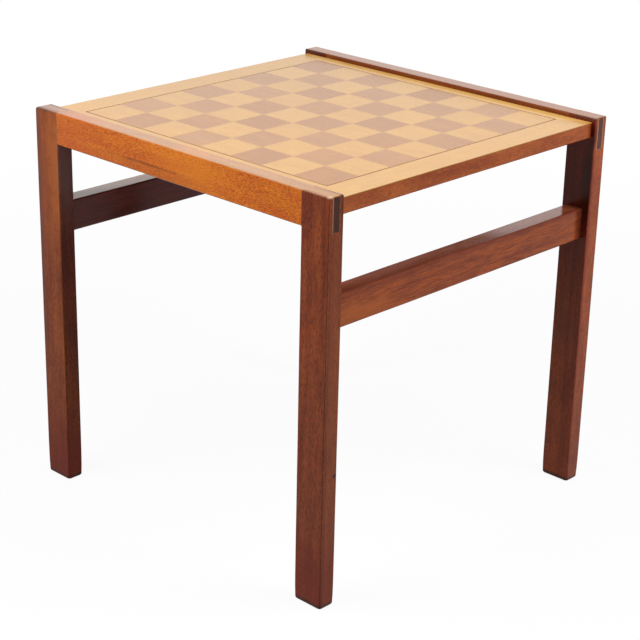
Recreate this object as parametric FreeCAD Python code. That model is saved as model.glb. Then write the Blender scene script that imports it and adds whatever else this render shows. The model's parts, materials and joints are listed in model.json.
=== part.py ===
"""Chess table with an inlaid board, as a joiner makes it.

Two side frames, each of two legs and a rail, are joined by two end stretchers. The rails' tenons pass
through open forks in the leg tops (bridle joints), and the stretchers have blind stub tenons. The inlaid
board is loose: it lies on two ledges between the rails and lifts straight out.

+X runs across the table from rail to rail, +Y along the rails, +Z up. The origin is on the floor, under
the middle of the table. Millimetres.
"""
import FreeCAD, Part
import os

from FreeCAD import Vector

# ---- Driving dimensions: the chess field and the board -------------------------------------------
SQUARES_A_SIDE = 8
SQUARE = 55.0
PALE_LINE = 1.0            # pale line between the squares and the stringing
STRINGING = 2.0            # dark line round the field
SIDE_BORDER = 21.0         # pale border beside the rails
END_BORDER = 42.0          # pale border at the players' ends
VENEER = 0.8
CORE_THICKNESS = 19.0
LIPPING = 6.0              # solid edging round the core

# ---- Driving dimensions: the frame ---------------------------------------------------------------
TABLE_HEIGHT = 540.0
LEG_THICKNESS = 24.5       # across the table, and the rails' thickness too
LEG_WIDTH = 44.5           # along the rails
RAIL_HEIGHT = 44.0
RAIL_LIP = 6.0             # how far the rails stand above the board
BOARD_END_SETBACK = 6.0    # from the legs' end faces to the board's end
BOARD_PLAY = 0.5           # gap between the board and each rail
BRIDLE_TENON = 11.0        # thickness of the rail tenon in the leg's fork
STRETCHER_THICKNESS = 28.0
STRETCHER_HEIGHT = 44.0
STRETCHER_DROP = 127.5     # from the top of the legs to the top of the stretchers
STRETCHER_SETBACK = 10.5   # from the legs' end faces to the stretchers' outer faces
STUB_THICKNESS = 10.0      # stretcher's stub tenon
STUB_SHOULDER = 6.0        # shoulder above and below the stub
STUB_LENGTH = 17.0
MORTISE_SPARE = 1.0        # glue space behind the stub
ARRIS = 2.0                # rounding of the long edges
FOOT_ROUND = 2.5           # rounding round the foot of a leg

# ---- Driving dimensions: the ledges and their screws ---------------------------------------------
LEDGE_WIDTH = 12.0
LEDGE_HEIGHT = 14.0
LEDGE_END_GAP = 20.0       # from a leg's edge to the ledge's end
LEDGE_CHAMFER = 2.0
SCREWS_PER_LEDGE = 3
SCREW_END_INSET = 30.0     # from the ledge's end to its first screw
SCREW_LENGTH = 28.0
SCREW_SHANK_RADIUS = 2.0
SCREW_HEAD_RADIUS = 4.0
SCREW_POINT = 4.0          # length of the tapered point
SCREW_SLOT_WIDTH = 1.0
SCREW_SLOT_DEPTH = 0.9
SCREW_PLAY = 0.1           # clearance round a screw in its hole

# ---- What follows from them ----------------------------------------------------------------------
FIELD_HALF = SQUARES_A_SIDE * SQUARE / 2
PALE_LINE_HALF = FIELD_HALF + PALE_LINE
STRINGING_HALF = PALE_LINE_HALF + STRINGING
BOARD_HALF_X = STRINGING_HALF + SIDE_BORDER
BOARD_HALF_Y = STRINGING_HALF + END_BORDER
INNER_X = BOARD_HALF_X + BOARD_PLAY              # inner faces of the legs and rails
OUTER_X = INNER_X + LEG_THICKNESS
OUTER_Y = BOARD_HALF_Y + BOARD_END_SETBACK       # end faces of the legs
INNER_Y = OUTER_Y - LEG_WIDTH
RAIL_BOTTOM = TABLE_HEIGHT - RAIL_HEIGHT
BOARD_TOP = TABLE_HEIGHT - RAIL_LIP
CORE_TOP = BOARD_TOP - VENEER
CORE_BOTTOM = CORE_TOP - CORE_THICKNESS
BOARD_BOTTOM = CORE_BOTTOM - VENEER
STRETCHER_TOP = TABLE_HEIGHT - STRETCHER_DROP
STRETCHER_BOTTOM = STRETCHER_TOP - STRETCHER_HEIGHT
STRETCHER_Y = OUTER_Y - STRETCHER_SETBACK - STRETCHER_THICKNESS / 2      # the stretchers' middle
RAIL_MIDDLE_X = (INNER_X + OUTER_X) / 2
SCREW_HEAD_DEPTH = SCREW_HEAD_RADIUS - SCREW_SHANK_RADIUS      # a right-angled countersink

NEAR = 0.001               # two coordinates closer than this are the same
SIDES = {"left": -1, "right": 1}                 # -X and +X
ENDS = {"front": -1, "back": 1}                  # -Y and +Y


def block(x_range, y_range, z_range):
    """A box between two values on each axis, given in either order."""
    low = [min(pair) for pair in (x_range, y_range, z_range)]
    high = [max(pair) for pair in (x_range, y_range, z_range)]
    return Part.makeBox(high[0] - low[0], high[1] - low[1], high[2] - low[2], Vector(*low))


def eased(solid, radius, wanted):
    """The solid with a rounding along each edge whose midpoint passes the test."""
    return solid.makeFillet(radius, [edge for edge in solid.Edges if wanted(edge.CenterOfMass)])


def bridle_space(side):
    """The X range that a rail's tenon fills in the legs' forks."""
    middle = side * RAIL_MIDDLE_X
    return middle - BRIDLE_TENON / 2, middle + BRIDLE_TENON / 2


def stub_space(end, side, length):
    """The block that a stretcher's stub tenon of this length fills in a leg."""
    middle = end * STRETCHER_Y
    return block((side * INNER_X, side * (INNER_X + length)),
                 (middle - STUB_THICKNESS / 2, middle + STUB_THICKNESS / 2),
                 (STRETCHER_BOTTOM + STUB_SHOULDER, STRETCHER_TOP - STUB_SHOULDER))


def leg(side, end):
    """A leg: eased post, open fork at the top for the rail, blind mortise for the stretcher."""
    x_range = (side * INNER_X, side * OUTER_X)
    y_range = (end * INNER_Y, end * OUTER_Y)
    post = block(x_range, y_range, (0, RAIL_BOTTOM))
    post = eased(post, ARRIS, lambda middle: NEAR < middle.z < RAIL_BOTTOM - NEAR)
    post = eased(post, FOOT_ROUND, lambda middle: middle.z < NEAR)
    head = block(x_range, y_range, (RAIL_BOTTOM, TABLE_HEIGHT))
    head = eased(head, ARRIS, lambda middle: (abs(middle.y - end * INNER_Y) > NEAR
                                              and middle.z > RAIL_BOTTOM + NEAR))
    fork = block(bridle_space(side), y_range, (RAIL_BOTTOM, TABLE_HEIGHT))
    mortise = stub_space(end, side, STUB_LENGTH + MORTISE_SPARE)
    return post.fuse(head).removeSplitter().cut([fork, mortise])


def side_rail(side):
    """A rail with a through tenon at each end, as high as the rail and flush with the legs' end faces."""
    rail = block((side * INNER_X, side * OUTER_X), (-INNER_Y, INNER_Y), (RAIL_BOTTOM, TABLE_HEIGHT))
    rail = eased(rail, ARRIS, lambda middle: abs(middle.y) < NEAR)
    for end in ENDS.values():
        tenon = block(bridle_space(side), (end * INNER_Y, end * OUTER_Y), (RAIL_BOTTOM, TABLE_HEIGHT))
        tenon = eased(tenon, ARRIS, lambda middle: (abs(middle.y - end * OUTER_Y) < NEAR
                                                    and abs(middle.z - TABLE_HEIGHT) < NEAR))
        rail = rail.fuse(tenon)
    return rail.removeSplitter().cut([screw_hole(side, y) for y in screw_places()])


def end_stretcher(end):
    """A stretcher with eased long edges and a stub tenon at each end."""
    middle = end * STRETCHER_Y
    bar = block((-INNER_X, INNER_X), (middle - STRETCHER_THICKNESS / 2, middle + STRETCHER_THICKNESS / 2),
                (STRETCHER_BOTTOM, STRETCHER_TOP))
    bar = eased(bar, ARRIS, lambda middle: abs(middle.x) < NEAR)
    stubs = [stub_space(end, side, STUB_LENGTH) for side in SIDES.values()]
    return bar.fuse(stubs).removeSplitter()


def screw_places():
    """The Y places of a ledge's screws, evenly spaced."""
    first = INNER_Y - LEDGE_END_GAP - SCREW_END_INSET
    step = 2 * first / (SCREWS_PER_LEDGE - 1)
    return [-first + step * number for number in range(SCREWS_PER_LEDGE)]


def screw_face(side, y):
    """The middle of a screw's head, flush with the ledge's inner face."""
    return Vector(side * (INNER_X - LEDGE_WIDTH), y, BOARD_BOTTOM - LEDGE_HEIGHT / 2)


def screw_hole(side, y):
    """The countersunk hole that a screw fills in its ledge and its rail, with a little play."""
    outward = Vector(side, 0, 0)
    face = screw_face(side, y)
    sink = Part.makeCone(SCREW_HEAD_RADIUS + SCREW_PLAY, SCREW_SHANK_RADIUS + SCREW_PLAY, SCREW_HEAD_DEPTH,
                         face, outward)
    drilled = Part.makeCylinder(SCREW_SHANK_RADIUS + SCREW_PLAY, SCREW_LENGTH - SCREW_HEAD_DEPTH,
                                face + outward * SCREW_HEAD_DEPTH, outward)
    return sink.fuse(drilled)


def ledge_screw(side, y):
    """A countersunk wood screw with a tapered point and a driver slot, through a ledge into its rail."""
    outward = Vector(side, 0, 0)
    face = screw_face(side, y)
    shank_length = SCREW_LENGTH - SCREW_HEAD_DEPTH - SCREW_POINT
    head = Part.makeCone(SCREW_HEAD_RADIUS, SCREW_SHANK_RADIUS, SCREW_HEAD_DEPTH, face, outward)
    shank = Part.makeCylinder(SCREW_SHANK_RADIUS, shank_length, face + outward * SCREW_HEAD_DEPTH, outward)
    point = Part.makeCone(SCREW_SHANK_RADIUS, SCREW_SHANK_RADIUS / 4, SCREW_POINT,
                          face + outward * (SCREW_HEAD_DEPTH + shank_length), outward)
    slot = block((face.x, face.x + side * SCREW_SLOT_DEPTH),
                 (y - SCREW_HEAD_RADIUS, y + SCREW_HEAD_RADIUS),
                 (face.z - SCREW_SLOT_WIDTH / 2, face.z + SCREW_SLOT_WIDTH / 2))
    return head.fuse([shank, point]).cut(slot)


def ledge(side):
    """A ledge that carries one side of the board, with its lower inner edge chamfered."""
    half_length = INNER_Y - LEDGE_END_GAP
    inner_face = side * (INNER_X - LEDGE_WIDTH)
    bottom = BOARD_BOTTOM - LEDGE_HEIGHT
    bar = block((inner_face, side * INNER_X), (-half_length, half_length), (bottom, BOARD_BOTTOM))
    corner = [edge for edge in bar.Edges if abs(edge.CenterOfMass.x - inner_face) < NEAR
              and abs(edge.CenterOfMass.z - bottom) < NEAR]
    bar = bar.makeChamfer(LEDGE_CHAMFER, corner)
    return bar.cut([screw_hole(side, y) for y in screw_places()])


def mitred_ring(inner, outer, bottom, top):
    """Four strips between two rectangles, mitred where they meet: front, right, back and left.

    inner and outer are the half sizes (x, y) of the rectangles.
    """
    turns = [(-1, -1), (1, -1), (1, 1), (-1, 1)]
    inside = [Vector(x * inner[0], y * inner[1], bottom) for x, y in turns]
    outside = [Vector(x * outer[0], y * outer[1], bottom) for x, y in turns]
    strips = {}
    for number, name in enumerate(("front", "right", "back", "left")):
        following = (number + 1) % len(turns)
        outline = [inside[number], inside[following], outside[following], outside[number], inside[number]]
        strips[name] = Part.Face(Part.makePolygon(outline)).extrude(Vector(0, 0, top - bottom))
    return strips


def squares(dark):
    """All the squares of one colour. The square at the left of the front row is dark."""
    found = []
    for column in range(SQUARES_A_SIDE):
        for row in range(SQUARES_A_SIDE):
            if ((column + row) % 2 == 0) == dark:
                x = -FIELD_HALF + column * SQUARE
                y = -FIELD_HALF + row * SQUARE
                found.append(block((x, x + SQUARE), (y, y + SQUARE), (CORE_TOP, BOARD_TOP)))
    return Part.makeCompound(found)


def frame_parts():
    """The pieces that stand on the floor."""
    parts = {}
    for side_name, side in SIDES.items():
        for end_name, end in ENDS.items():
            parts[f"leg_{end_name}_{side_name}"] = leg(side, end)
        parts[f"side_rail_{side_name}"] = side_rail(side)
        parts[f"ledge_{side_name}"] = ledge(side)
        screws = [ledge_screw(side, y) for y in screw_places()]
        parts[f"ledge_screws_{side_name}"] = Part.makeCompound(screws)
    for end_name, end in ENDS.items():
        parts[f"end_stretcher_{end_name}"] = end_stretcher(end)
    return parts


def board_parts():
    """The pieces that lift out together: core, lippings, and the veneers on both faces."""
    board = (BOARD_HALF_X, BOARD_HALF_Y)
    core = (BOARD_HALF_X - LIPPING, BOARD_HALF_Y - LIPPING)
    across_x = (-BOARD_HALF_X, BOARD_HALF_X)
    across_y = (-BOARD_HALF_Y, BOARD_HALF_Y)
    field = (FIELD_HALF, FIELD_HALF)
    pale_line = (PALE_LINE_HALF, PALE_LINE_HALF)
    stringing = (STRINGING_HALF, STRINGING_HALF)
    rings = {
        "lipping": (core, board, CORE_BOTTOM, CORE_TOP),
        "pale_line": (field, pale_line, CORE_TOP, BOARD_TOP),
        "stringing": (pale_line, stringing, CORE_TOP, BOARD_TOP),
        "border": (stringing, board, CORE_TOP, BOARD_TOP),
    }
    parts = {
        "board_core": block((-core[0], core[0]), (-core[1], core[1]), (CORE_BOTTOM, CORE_TOP)),
        "backing_veneer": block(across_x, across_y, (BOARD_BOTTOM, CORE_BOTTOM)),
        "light_squares": squares(dark=False),
        "dark_squares": squares(dark=True),
    }
    for ring_name, ring in rings.items():
        for side_name, strip in mitred_ring(*ring).items():
            parts[f"{ring_name}_{side_name}"] = strip
    return parts


os.makedirs("parts", exist_ok=True)
for name, shape in {**frame_parts(), **board_parts()}.items():
    shape.exportStep(f"parts/{name}.step")
board_thickness = BOARD_TOP - BOARD_BOTTOM
print(f"table {2 * OUTER_X:g} x {2 * OUTER_Y:g} x {TABLE_HEIGHT:g} mm")
print(f"board {2 * BOARD_HALF_X:g} x {2 * BOARD_HALF_Y:g} x {board_thickness:g} mm, top at {BOARD_TOP:g}")
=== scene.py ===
# %% [markdown]
# # A chess table with an inlaid board
#
# The real table is a joiner's piece: four mahogany legs, two side rails, two end stretchers, and a
# loose board inlaid with sixty-four squares. It could be dressed by hand in Blender's window. A
# script takes longer to write, but it can be read, repeated and checked, so this lesson is one.
# The solids come packed, as a frame that stays where it is, and loading it comes first.

# %% Load the frame
import json
import math
from collections import namedtuple

import bmesh
import bpy
import numpy as np
from mathutils import Matrix, Vector

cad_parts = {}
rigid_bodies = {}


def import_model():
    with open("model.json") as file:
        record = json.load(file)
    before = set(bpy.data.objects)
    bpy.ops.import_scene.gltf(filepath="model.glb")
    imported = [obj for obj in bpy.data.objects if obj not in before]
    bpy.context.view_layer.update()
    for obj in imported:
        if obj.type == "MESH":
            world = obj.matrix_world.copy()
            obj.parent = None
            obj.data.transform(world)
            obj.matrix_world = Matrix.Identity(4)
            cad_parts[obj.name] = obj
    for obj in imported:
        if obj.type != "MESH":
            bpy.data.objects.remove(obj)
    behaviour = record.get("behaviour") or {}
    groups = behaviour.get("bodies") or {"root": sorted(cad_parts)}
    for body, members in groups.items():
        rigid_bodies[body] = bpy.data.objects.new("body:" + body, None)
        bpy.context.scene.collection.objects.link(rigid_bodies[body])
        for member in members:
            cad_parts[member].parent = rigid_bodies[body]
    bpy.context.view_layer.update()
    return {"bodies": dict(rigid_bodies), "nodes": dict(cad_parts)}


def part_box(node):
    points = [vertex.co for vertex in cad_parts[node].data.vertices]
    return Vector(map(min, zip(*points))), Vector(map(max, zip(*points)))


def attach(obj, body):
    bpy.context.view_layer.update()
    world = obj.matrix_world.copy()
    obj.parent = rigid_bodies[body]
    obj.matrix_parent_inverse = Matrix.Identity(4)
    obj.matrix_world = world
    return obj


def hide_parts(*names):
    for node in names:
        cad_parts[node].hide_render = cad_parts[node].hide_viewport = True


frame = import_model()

print("bodies:", ", ".join(frame["bodies"]), "| nodes:", len(frame["nodes"]))

# %% [markdown]
# ## Measure before building
#
# A joiner marks new wood from the wood that is already there. The sizes could be typed in a second
# time, but then a change in the solids would leave the dressed pieces behind. So whatever a
# solid's box can tell is read from it, and only the rest is written as numbers.

# %% Sizes of the legs and rails
MM = 0.001                                  # Blender counts in metres
leg_low, leg_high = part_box("leg_back_right")
INNER_X, OUTER_X = leg_low.x, leg_high.x
INNER_Y, OUTER_Y = leg_low.y, leg_high.y
LEG_X, LEG_Y = (INNER_X + OUTER_X) / 2, (INNER_Y + OUTER_Y) / 2
TABLE_TOP = leg_high.z
RAIL_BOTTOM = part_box("side_rail_right")[0].z
print(f"legs {(OUTER_X - INNER_X) / MM:.1f} x {(OUTER_Y - INNER_Y) / MM:.1f} mm,",
      f"rails {(TABLE_TOP - RAIL_BOTTOM) / MM:.1f} mm high")

# %% [markdown]
# ## The joints in the frame
#
# Two kinds of joint hold the real frame together. At the top, a long tenon on the rail fills an
# open fork in the leg: a bridle joint. Lower down, a short tenon on the stretcher, a stub, sits in
# a blind mortise. Each bar could be given sizes of its own, but a tenon has to fit its fork. So
# the sizes are written once, and every bar reads the same ones.

# %% Sizes of the joints
stretcher_low, stretcher_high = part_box("end_stretcher_back")
BRIDLE_TENON = 11.0 * MM                    # thickness of the rail's tenon
CHEEKS = LEG_X - BRIDLE_TENON / 2, LEG_X + BRIDLE_TENON / 2          # the fork's two walls
STUB_THICKNESS = 10.0 * MM                  # thickness of the stretcher's stub
STUB_SHOULDER = 6.0 * MM                    # step from the stretcher's top or underside to the stub
STUB_LENGTH = stretcher_high.x - INNER_X
STUB_MIDDLE = (stretcher_low.y + stretcher_high.y) / 2
STUB_SIDES = STUB_MIDDLE - STUB_THICKNESS / 2, STUB_MIDDLE + STUB_THICKNESS / 2
MORTISE_SPARE = 1.0 * MM                    # space for glue behind the stub
print(f"bridle tenon {BRIDLE_TENON / MM:.1f} mm thick, stub {STUB_LENGTH / MM:.1f} mm long")

# %% [markdown]
# ## A bar is an outline carried along a path
#
# Every leg, rail and stretcher is a rectangle with rounded corners, carried along the bar. A cube
# with a Bevel modifier would look much the same, but its edges would all be equal, and it can't
# turn into a tenon on the way. Here the outline is worked out afresh at each station along the
# bar, for all stations at once, so it may shrink at a foot and step in at a shoulder. Its four
# corners come first.

# %% Four rounded corners
ARRIS = 2.0 * MM                            # rounding of the long edges
ARC_STEPS = 6                               # faces round a quarter turn
QUARTER = np.linspace(0, math.pi / 2, ARC_STEPS + 1)


def corner_arcs(low_a, high_a, low_b, high_b, radii):
    """The four corners of every outline, in turn round it, as points [station, point, (a, b)].

    A corner is a quarter circle: its centre plus the radius times (cos t, sin t). Each corner's t
    runs over a quarter turn, and starts where the last one's ended.
    """
    arcs = []
    ends = (low_a, low_b), (high_a, low_b), (high_a, high_b), (low_a, high_b)
    inward = (1, 1), (-1, 1), (-1, -1), (1, -1)
    for number, ((a, b), (inward_a, inward_b)) in enumerate(zip(ends, inward)):
        radius = radii[:, number, None]
        t = math.pi * (1 + number / 2) + QUARTER
        arcs.append(np.stack([a[:, None] + radius * (inward_a + np.cos(t)),
                              b[:, None] + radius * (inward_b + np.sin(t))], -1))
    return arcs


leg_plan = [np.array([size]) for size in (INNER_X, OUTER_X, INNER_Y, OUTER_Y)]
leg_arcs = corner_arcs(*leg_plan, np.full((1, 4), ARRIS))
print("corners:", len(leg_arcs), "of", leg_arcs[0].shape[1], "points each")

# %% [markdown]
# ## Lines for the saw
#
# A joiner scribes lines on a bar before cutting a joint. The mesh needs the same: a fork can only
# open between two lines of edges. The outline could be cut open later with a Boolean modifier, but
# that leaves thin, crooked faces. So the straight sides get a point wherever a joint's edge will
# run. Each point also notes how rubbed it is, because the ridge of an edge wears first, and the
# finish will want to know.

# %% The whole outline
RIDGE = 1 - np.abs(2 * QUARTER / QUARTER[-1] - 1)


def straight_sides(low_a, high_a, low_b, high_b, splits_a, splits_b):
    """Points on the straight side after each corner: at splits_a, or turned a quarter, splits_b."""
    sides = []
    for number, level in enumerate((low_b, high_a, high_b, low_a)):
        splits = np.array(splits_b if number % 2 else splits_a, float)
        along = np.broadcast_to(splits if number < 2 else splits[::-1], (len(level), len(splits)))
        across = np.broadcast_to(level[:, None], along.shape)
        sides.append(np.stack([across, along] if number % 2 else [along, across], -1))
    return sides


def rounded_outline(low_a, high_a, low_b, high_b, radii, splits_a=(), splits_b=()):
    """Outlines round a bar, one for each station, and how rubbed each of their points is.

    Corners and straight sides take turns. A point is rubbed by 1 - |2 s - 1|, with s from 0 to 1
    along its corner: 1 on the ridge of the edge, and 0 where the corner meets a flat side.
    """
    box = low_a, high_a, low_b, high_b
    corners, sides = corner_arcs(*box, radii), straight_sides(*box, splits_a, splits_b)
    points = np.concatenate([part for pair in zip(corners, sides) for part in pair], 1)
    rubbed = np.concatenate([part for side in sides for part in (RIDGE, np.zeros(side.shape[1]))])
    return points, np.broadcast_to(rubbed, points.shape[:2])


leg_points, leg_rubbed = rounded_outline(*leg_plan, np.full((1, 4), ARRIS), CHEEKS, STUB_SIDES)
print("a leg's outline:", leg_points.shape[1], "points,",
      int((leg_rubbed > 0.9).sum()), "on the ridge of an edge")

# %% [markdown]
# ## Edges eased by hand
#
# The real edges were rounded with a few strokes of a block plane, so the rounding is never quite
# even. Noise could shake every point, but that makes wood look like clay. Three slow waves along
# each edge's radius keep the edge straight and still catch the light unevenly, as planed wood
# does. Each bar starts its waves at places of its own, drawn from its own seed.

# %% The waves along an edge
EASING = (0.09, 2.3), (0.06, 5.1), (0.04, 11.7)      # strength, and waves a metre
STATION_STEP = 12.0 * MM                             # longest face along a bar


def hand_eased(along, seed):
    """How much the rounding swells and thins along a bar: 1 plus three sine waves.

    Each wave starts at an angle drawn between 0 and 6.3, which is a whole turn.
    """
    draw = np.random.default_rng(seed)
    return 1 + sum(strength * np.sin(along * waves * 2 * math.pi + draw.uniform(0, 6.3))
                   for strength, waves in EASING)


def stations_between(start, end):
    """Places along a bar from start to end, evenly spaced, at most one station step apart."""
    return np.linspace(start, end, 1 + max(1, math.ceil((end - start) / STATION_STEP)))


swell = hand_eased(stations_between(0, TABLE_TOP), 31)
print(f"{len(swell)} stations, rounding {swell.min():.2f} to {swell.max():.2f} of its size")

# %% [markdown]
# ## The skin between the outlines
#
# Neighbouring outlines are joined by four-cornered faces, like the staves of a barrel. Blender
# could bridge the loops one by one, but the numbers of a face's corners are easy to work out, so
# the whole skin is one array. Where a joint is cut, some faces are left out and others put in: two
# rows of points that face each other are joined like the sides of a ladder.

# %% The skin
def skin(stations, points, left_out=()):
    """Faces between each outline and the next.

    In row r and column c, a face has the corners (r, c), (r, c + 1), (r + 1, c + 1), (r + 1, c).
    left_out lists (first row, end row, column) of the faces to leave out.
    """
    row, column = np.mgrid[0:stations - 1, 0:points]
    here = row * points + column
    beside = row * points + (column + 1) % points
    quads = np.stack([here, beside, beside + points, here + points], -1)
    keep = np.ones(row.shape, bool)
    for first, end, which in left_out:
        keep[first:end, which] = False
    return quads[keep].tolist()


def ladder(left, right):
    """Faces between two rows of points, given by their numbers: one face for each step."""
    return np.stack([left[:-1], right[:-1], right[1:], left[1:]], -1).tolist()


def capped_skin(rows, count):
    """A skin and a cap at each end: all a bar needs where nothing is cut into it."""
    last = (rows - 1) * count
    return skin(rows, count) + [list(range(count)), list(range(last, last + count))]


print("three outlines of eight points:", len(capped_skin(3, 8)), "faces")

# %% [markdown]
# ## From arrays to a closed mesh
#
# A mesh for a real thing has to be closed, as wood is. Points that fall together, such as those of
# a corner whose radius is nought, could be avoided with special cases. It is simpler to let them
# fall together and merge them here. The faces are then turned outwards, and the open edges are
# counted. That count has to be nought, so it is printed with every piece.

# %% The mesh
MERGE = 0.001 * MM                          # points nearer to each other than this become one


def closed_mesh(name, points, rubbed, faces):
    """A mesh of these arrays, merged and turned outwards, and how many of its edges are open."""
    mesh = bpy.data.meshes.new(name)
    mesh.from_pydata(points.reshape(-1, 3), [], faces)
    values = mesh.attributes.new("rubbed", "FLOAT", "POINT").data
    values.foreach_set("value", rubbed.astype(np.float32).ravel())
    bm = bmesh.new()
    bm.from_mesh(mesh)
    bmesh.ops.remove_doubles(bm, verts=bm.verts, dist=MERGE)
    bmesh.ops.recalc_face_normals(bm, faces=bm.faces)
    open_edges = sum(not edge.is_manifold for edge in bm.edges)
    bm.to_mesh(mesh)
    bm.free()
    return mesh, open_edges


print(f"points within {MERGE / MM:.3f} mm of each other are merged")

# %% [markdown]
# ## A piece that takes a solid's place
#
# Smooth shading rounds the edges, and it would also bend the light on the flat sides. More faces
# would hide that. A Weighted Normal modifier cures it with none: it lets the large flat faces
# decide. The piece then takes the place of its packed solid, which stays behind it for weight and
# collision, and it rides on the same body.

# %% The piece
SHARP = math.radians(40)                    # an edge that turns by more than this stays crisp


def make_piece(name, points, rubbed, faces, finish, stands_for):
    """Makes a closed mesh of the arrays, smooths it, and sets it in place of a packed solid."""
    mesh, open_edges = closed_mesh(name, points, rubbed, faces)
    mesh.shade_smooth()
    mesh.set_sharp_from_angle(angle=SHARP)
    mesh.materials.append(finish)
    piece = bpy.data.objects.new(name, mesh)
    bpy.context.scene.collection.objects.link(piece)
    piece.modifiers.new("flats_stay_flat", "WEIGHTED_NORMAL").keep_sharp = True
    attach(piece, "frame")
    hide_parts(stands_for)
    print(f"{name}: {len(mesh.vertices)} points, {len(mesh.polygons)} faces,",
          f"{open_edges} open edges")
    return piece


print(f"edges that turn by more than {math.degrees(SHARP):.0f} degrees stay crisp")

# %% [markdown]
# ## Colours as the eye sees them
#
# A stain is chosen from a chart. Colours on a chart or a screen run from 0 to 255, in steps that
# look even. Blender's shaders count light instead, where half the light doesn't look half as
# bright. Linear numbers could be written at once, but nobody can picture them. So one function
# turns the first kind into the second, and another darkens or lightens the result, as more stain or
# years of sun do.

# %% Colours
def seen(red, green, blue):
    """A colour as the eye sees it, 0 to 255, as light: ((c + 0.055) / 1.055) to the power 2.4."""
    share = np.array([red, green, blue]) / 255
    linear = np.where(share > 0.04045, ((share + 0.055) / 1.055) ** 2.4, share / 12.92)
    return (*map(float, linear), 1.0)


def faded(colour, factor):
    """A colour made darker or lighter: each part times a factor, at most 1."""
    return (*(min(1.0, factor * part) for part in colour[:3]), 1.0)


print("a grey of 128 of 255 is", round(seen(128, 128, 128)[0], 3), "of white's light")

# %% [markdown]
# ## A finish is a net of nodes
#
# In the shader editor a finish is drawn as boxes and wires. Written out in full, each box takes
# four or five lines, and the recipe drowns in them. The classes below add a node, set it and wire
# it in one call. This first one knows only how to add and to wire, so it serves the room as well.

# %% A net of nodes
class NodeNet:
    """A net being wired. Plain values and the outputs of other nodes can both be fed to a node."""

    def __init__(self, tree):
        self.tree = tree

    def feed(self, socket, value):
        """Wires an output to the socket, or sets the socket to a plain value."""
        if isinstance(value, bpy.types.NodeSocket):
            self.tree.links.new(value, socket)
        else:
            socket.default_value = value

    def add(self, kind, feeds, output=0, **settings):
        """Adds a node, sets it, feeds its sockets by name or number, and returns an output."""
        node = self.tree.nodes.new("ShaderNode" + kind)
        for setting, value in settings.items():
            setattr(node, setting, value)
        for socket, value in feeds.items():
            self.feed(node.inputs[socket], value)
        return node.outputs[output]


print("a net can", " and ".join(name for name in vars(NodeNet) if not name.startswith("_")))

# %% [markdown]
# ## Sums that wait
#
# Wood looks different at every point, so a finish can't be one number. The sums below don't work
# anything out yet. Each returns a wire, and Blender does the sum later, for every point that a ray
# of light meets. That is what lets a pattern run right through the wood, as it does in a tree.

# %% Sums
class Sums(NodeNet):
    """A net that can do sums with numbers and with places."""

    def math(self, operation, *values):
        return self.add("Math", dict(enumerate(values)), operation=operation)

    def vector(self, operation, *values):
        output = 1 if operation in ("LENGTH", "DOT_PRODUCT") else 0
        return self.add("VectorMath", dict(enumerate(values)), output, operation=operation)

    def scaled(self, vector, factor):
        return self.add("VectorMath", {0: vector, "Scale": factor}, operation="SCALE")

    def split(self, vector):
        return self.add("SeparateXYZ", {0: vector}).node.outputs

    def join(self, x, y, z):
        return self.add("CombineXYZ", {0: x, 1: y, 2: z})

    def between(self, value, low, high, first=0.0, last=1.0):
        """first below low, last above high, and a smooth step from one to the other."""
        return self.add("MapRange", {0: value, 1: low, 2: high, 3: first, 4: last},
                        interpolation_type="SMOOTHSTEP")


print("sums:", ", ".join(name for name in vars(Sums) if not name.startswith("_")))

# %% [markdown]
# ## The finish itself
#
# Every finish on the table is a coat of varnish or metal over a colour. Blender has a shader for
# each kind of surface, but the Principled one holds them all, and other programs know it too. The
# class starts one, and adds noise, mixing, a bump for pores, and a last step that feeds the colour
# and the roughness to the shader.

# %% A finish
class Finish(Sums):
    """A material being mixed, with the place on the object and the way the face looks at hand."""

    def __init__(self, name, roughness, ior):
        self.material = bpy.data.materials.new(name)
        self.material.use_nodes = True
        super().__init__(self.material.node_tree)
        self.shader = self.tree.nodes["Principled BSDF"]
        self.shader.inputs["Roughness"].default_value = roughness
        self.shader.inputs["IOR"].default_value = ior
        place = self.tree.nodes.new("ShaderNodeTexCoord")
        self.place, self.facing = place.outputs["Object"], place.outputs["Normal"]

    def noise(self, vector, detail=2.0, roughness=0.5, output=0):
        feeds = {"Vector": vector, "Scale": 1.0, "Detail": detail, "Roughness": roughness}
        return self.add("TexNoise", feeds, output)

    def mix(self, share, first, second, blend="MIX"):
        return self.add("Mix", {0: share, 6: first, 7: second}, 2, data_type="RGBA",
                        blend_type=blend)

    def bump(self, height, depth):
        """The surface rises by depth metres where height goes from 0 to 1."""
        normal = self.add("Bump", {"Strength": 1.0, "Distance": depth, "Height": height})
        self.feed(self.shader.inputs["Normal"], normal)

    def finished(self, colour, roughness):
        self.feed(self.shader.inputs["Base Color"], colour)
        self.feed(self.shader.inputs["Roughness"], roughness)
        print(f"{self.material.name}: {len(self.tree.nodes)} nodes")
        return self.material


print("a finish adds:", ", ".join(name for name in vars(Finish) if not name.startswith("_")))

# %% [markdown]
# ## Which way the grain runs
#
# A tree grows upwards, so the recipe for wood is written with Z along the trunk. A rail's grain
# runs along Y and a stretcher's along X. The recipe could be written three times. Instead a
# Mapping node turns the coordinates, and shifts them to a place in the tree of the piece's own, so
# that no two pieces show the same figure.

# %% Lay the grain
TURNS = {"X": (0, -math.pi / 2, 0), "Y": (math.pi / 2, 0, 0), "Z": (0, 0, 0)}
AXES = {"X": (1, 0, 0), "Y": (0, 1, 0), "Z": (0, 0, 1)}


def turned(along):
    """The turn that brings this axis upright: round X first, and then round Y."""
    round_x, round_y, _ = TURNS[along]
    return Matrix.Rotation(round_y, 3, "Y") @ Matrix.Rotation(round_x, 3, "X")


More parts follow.
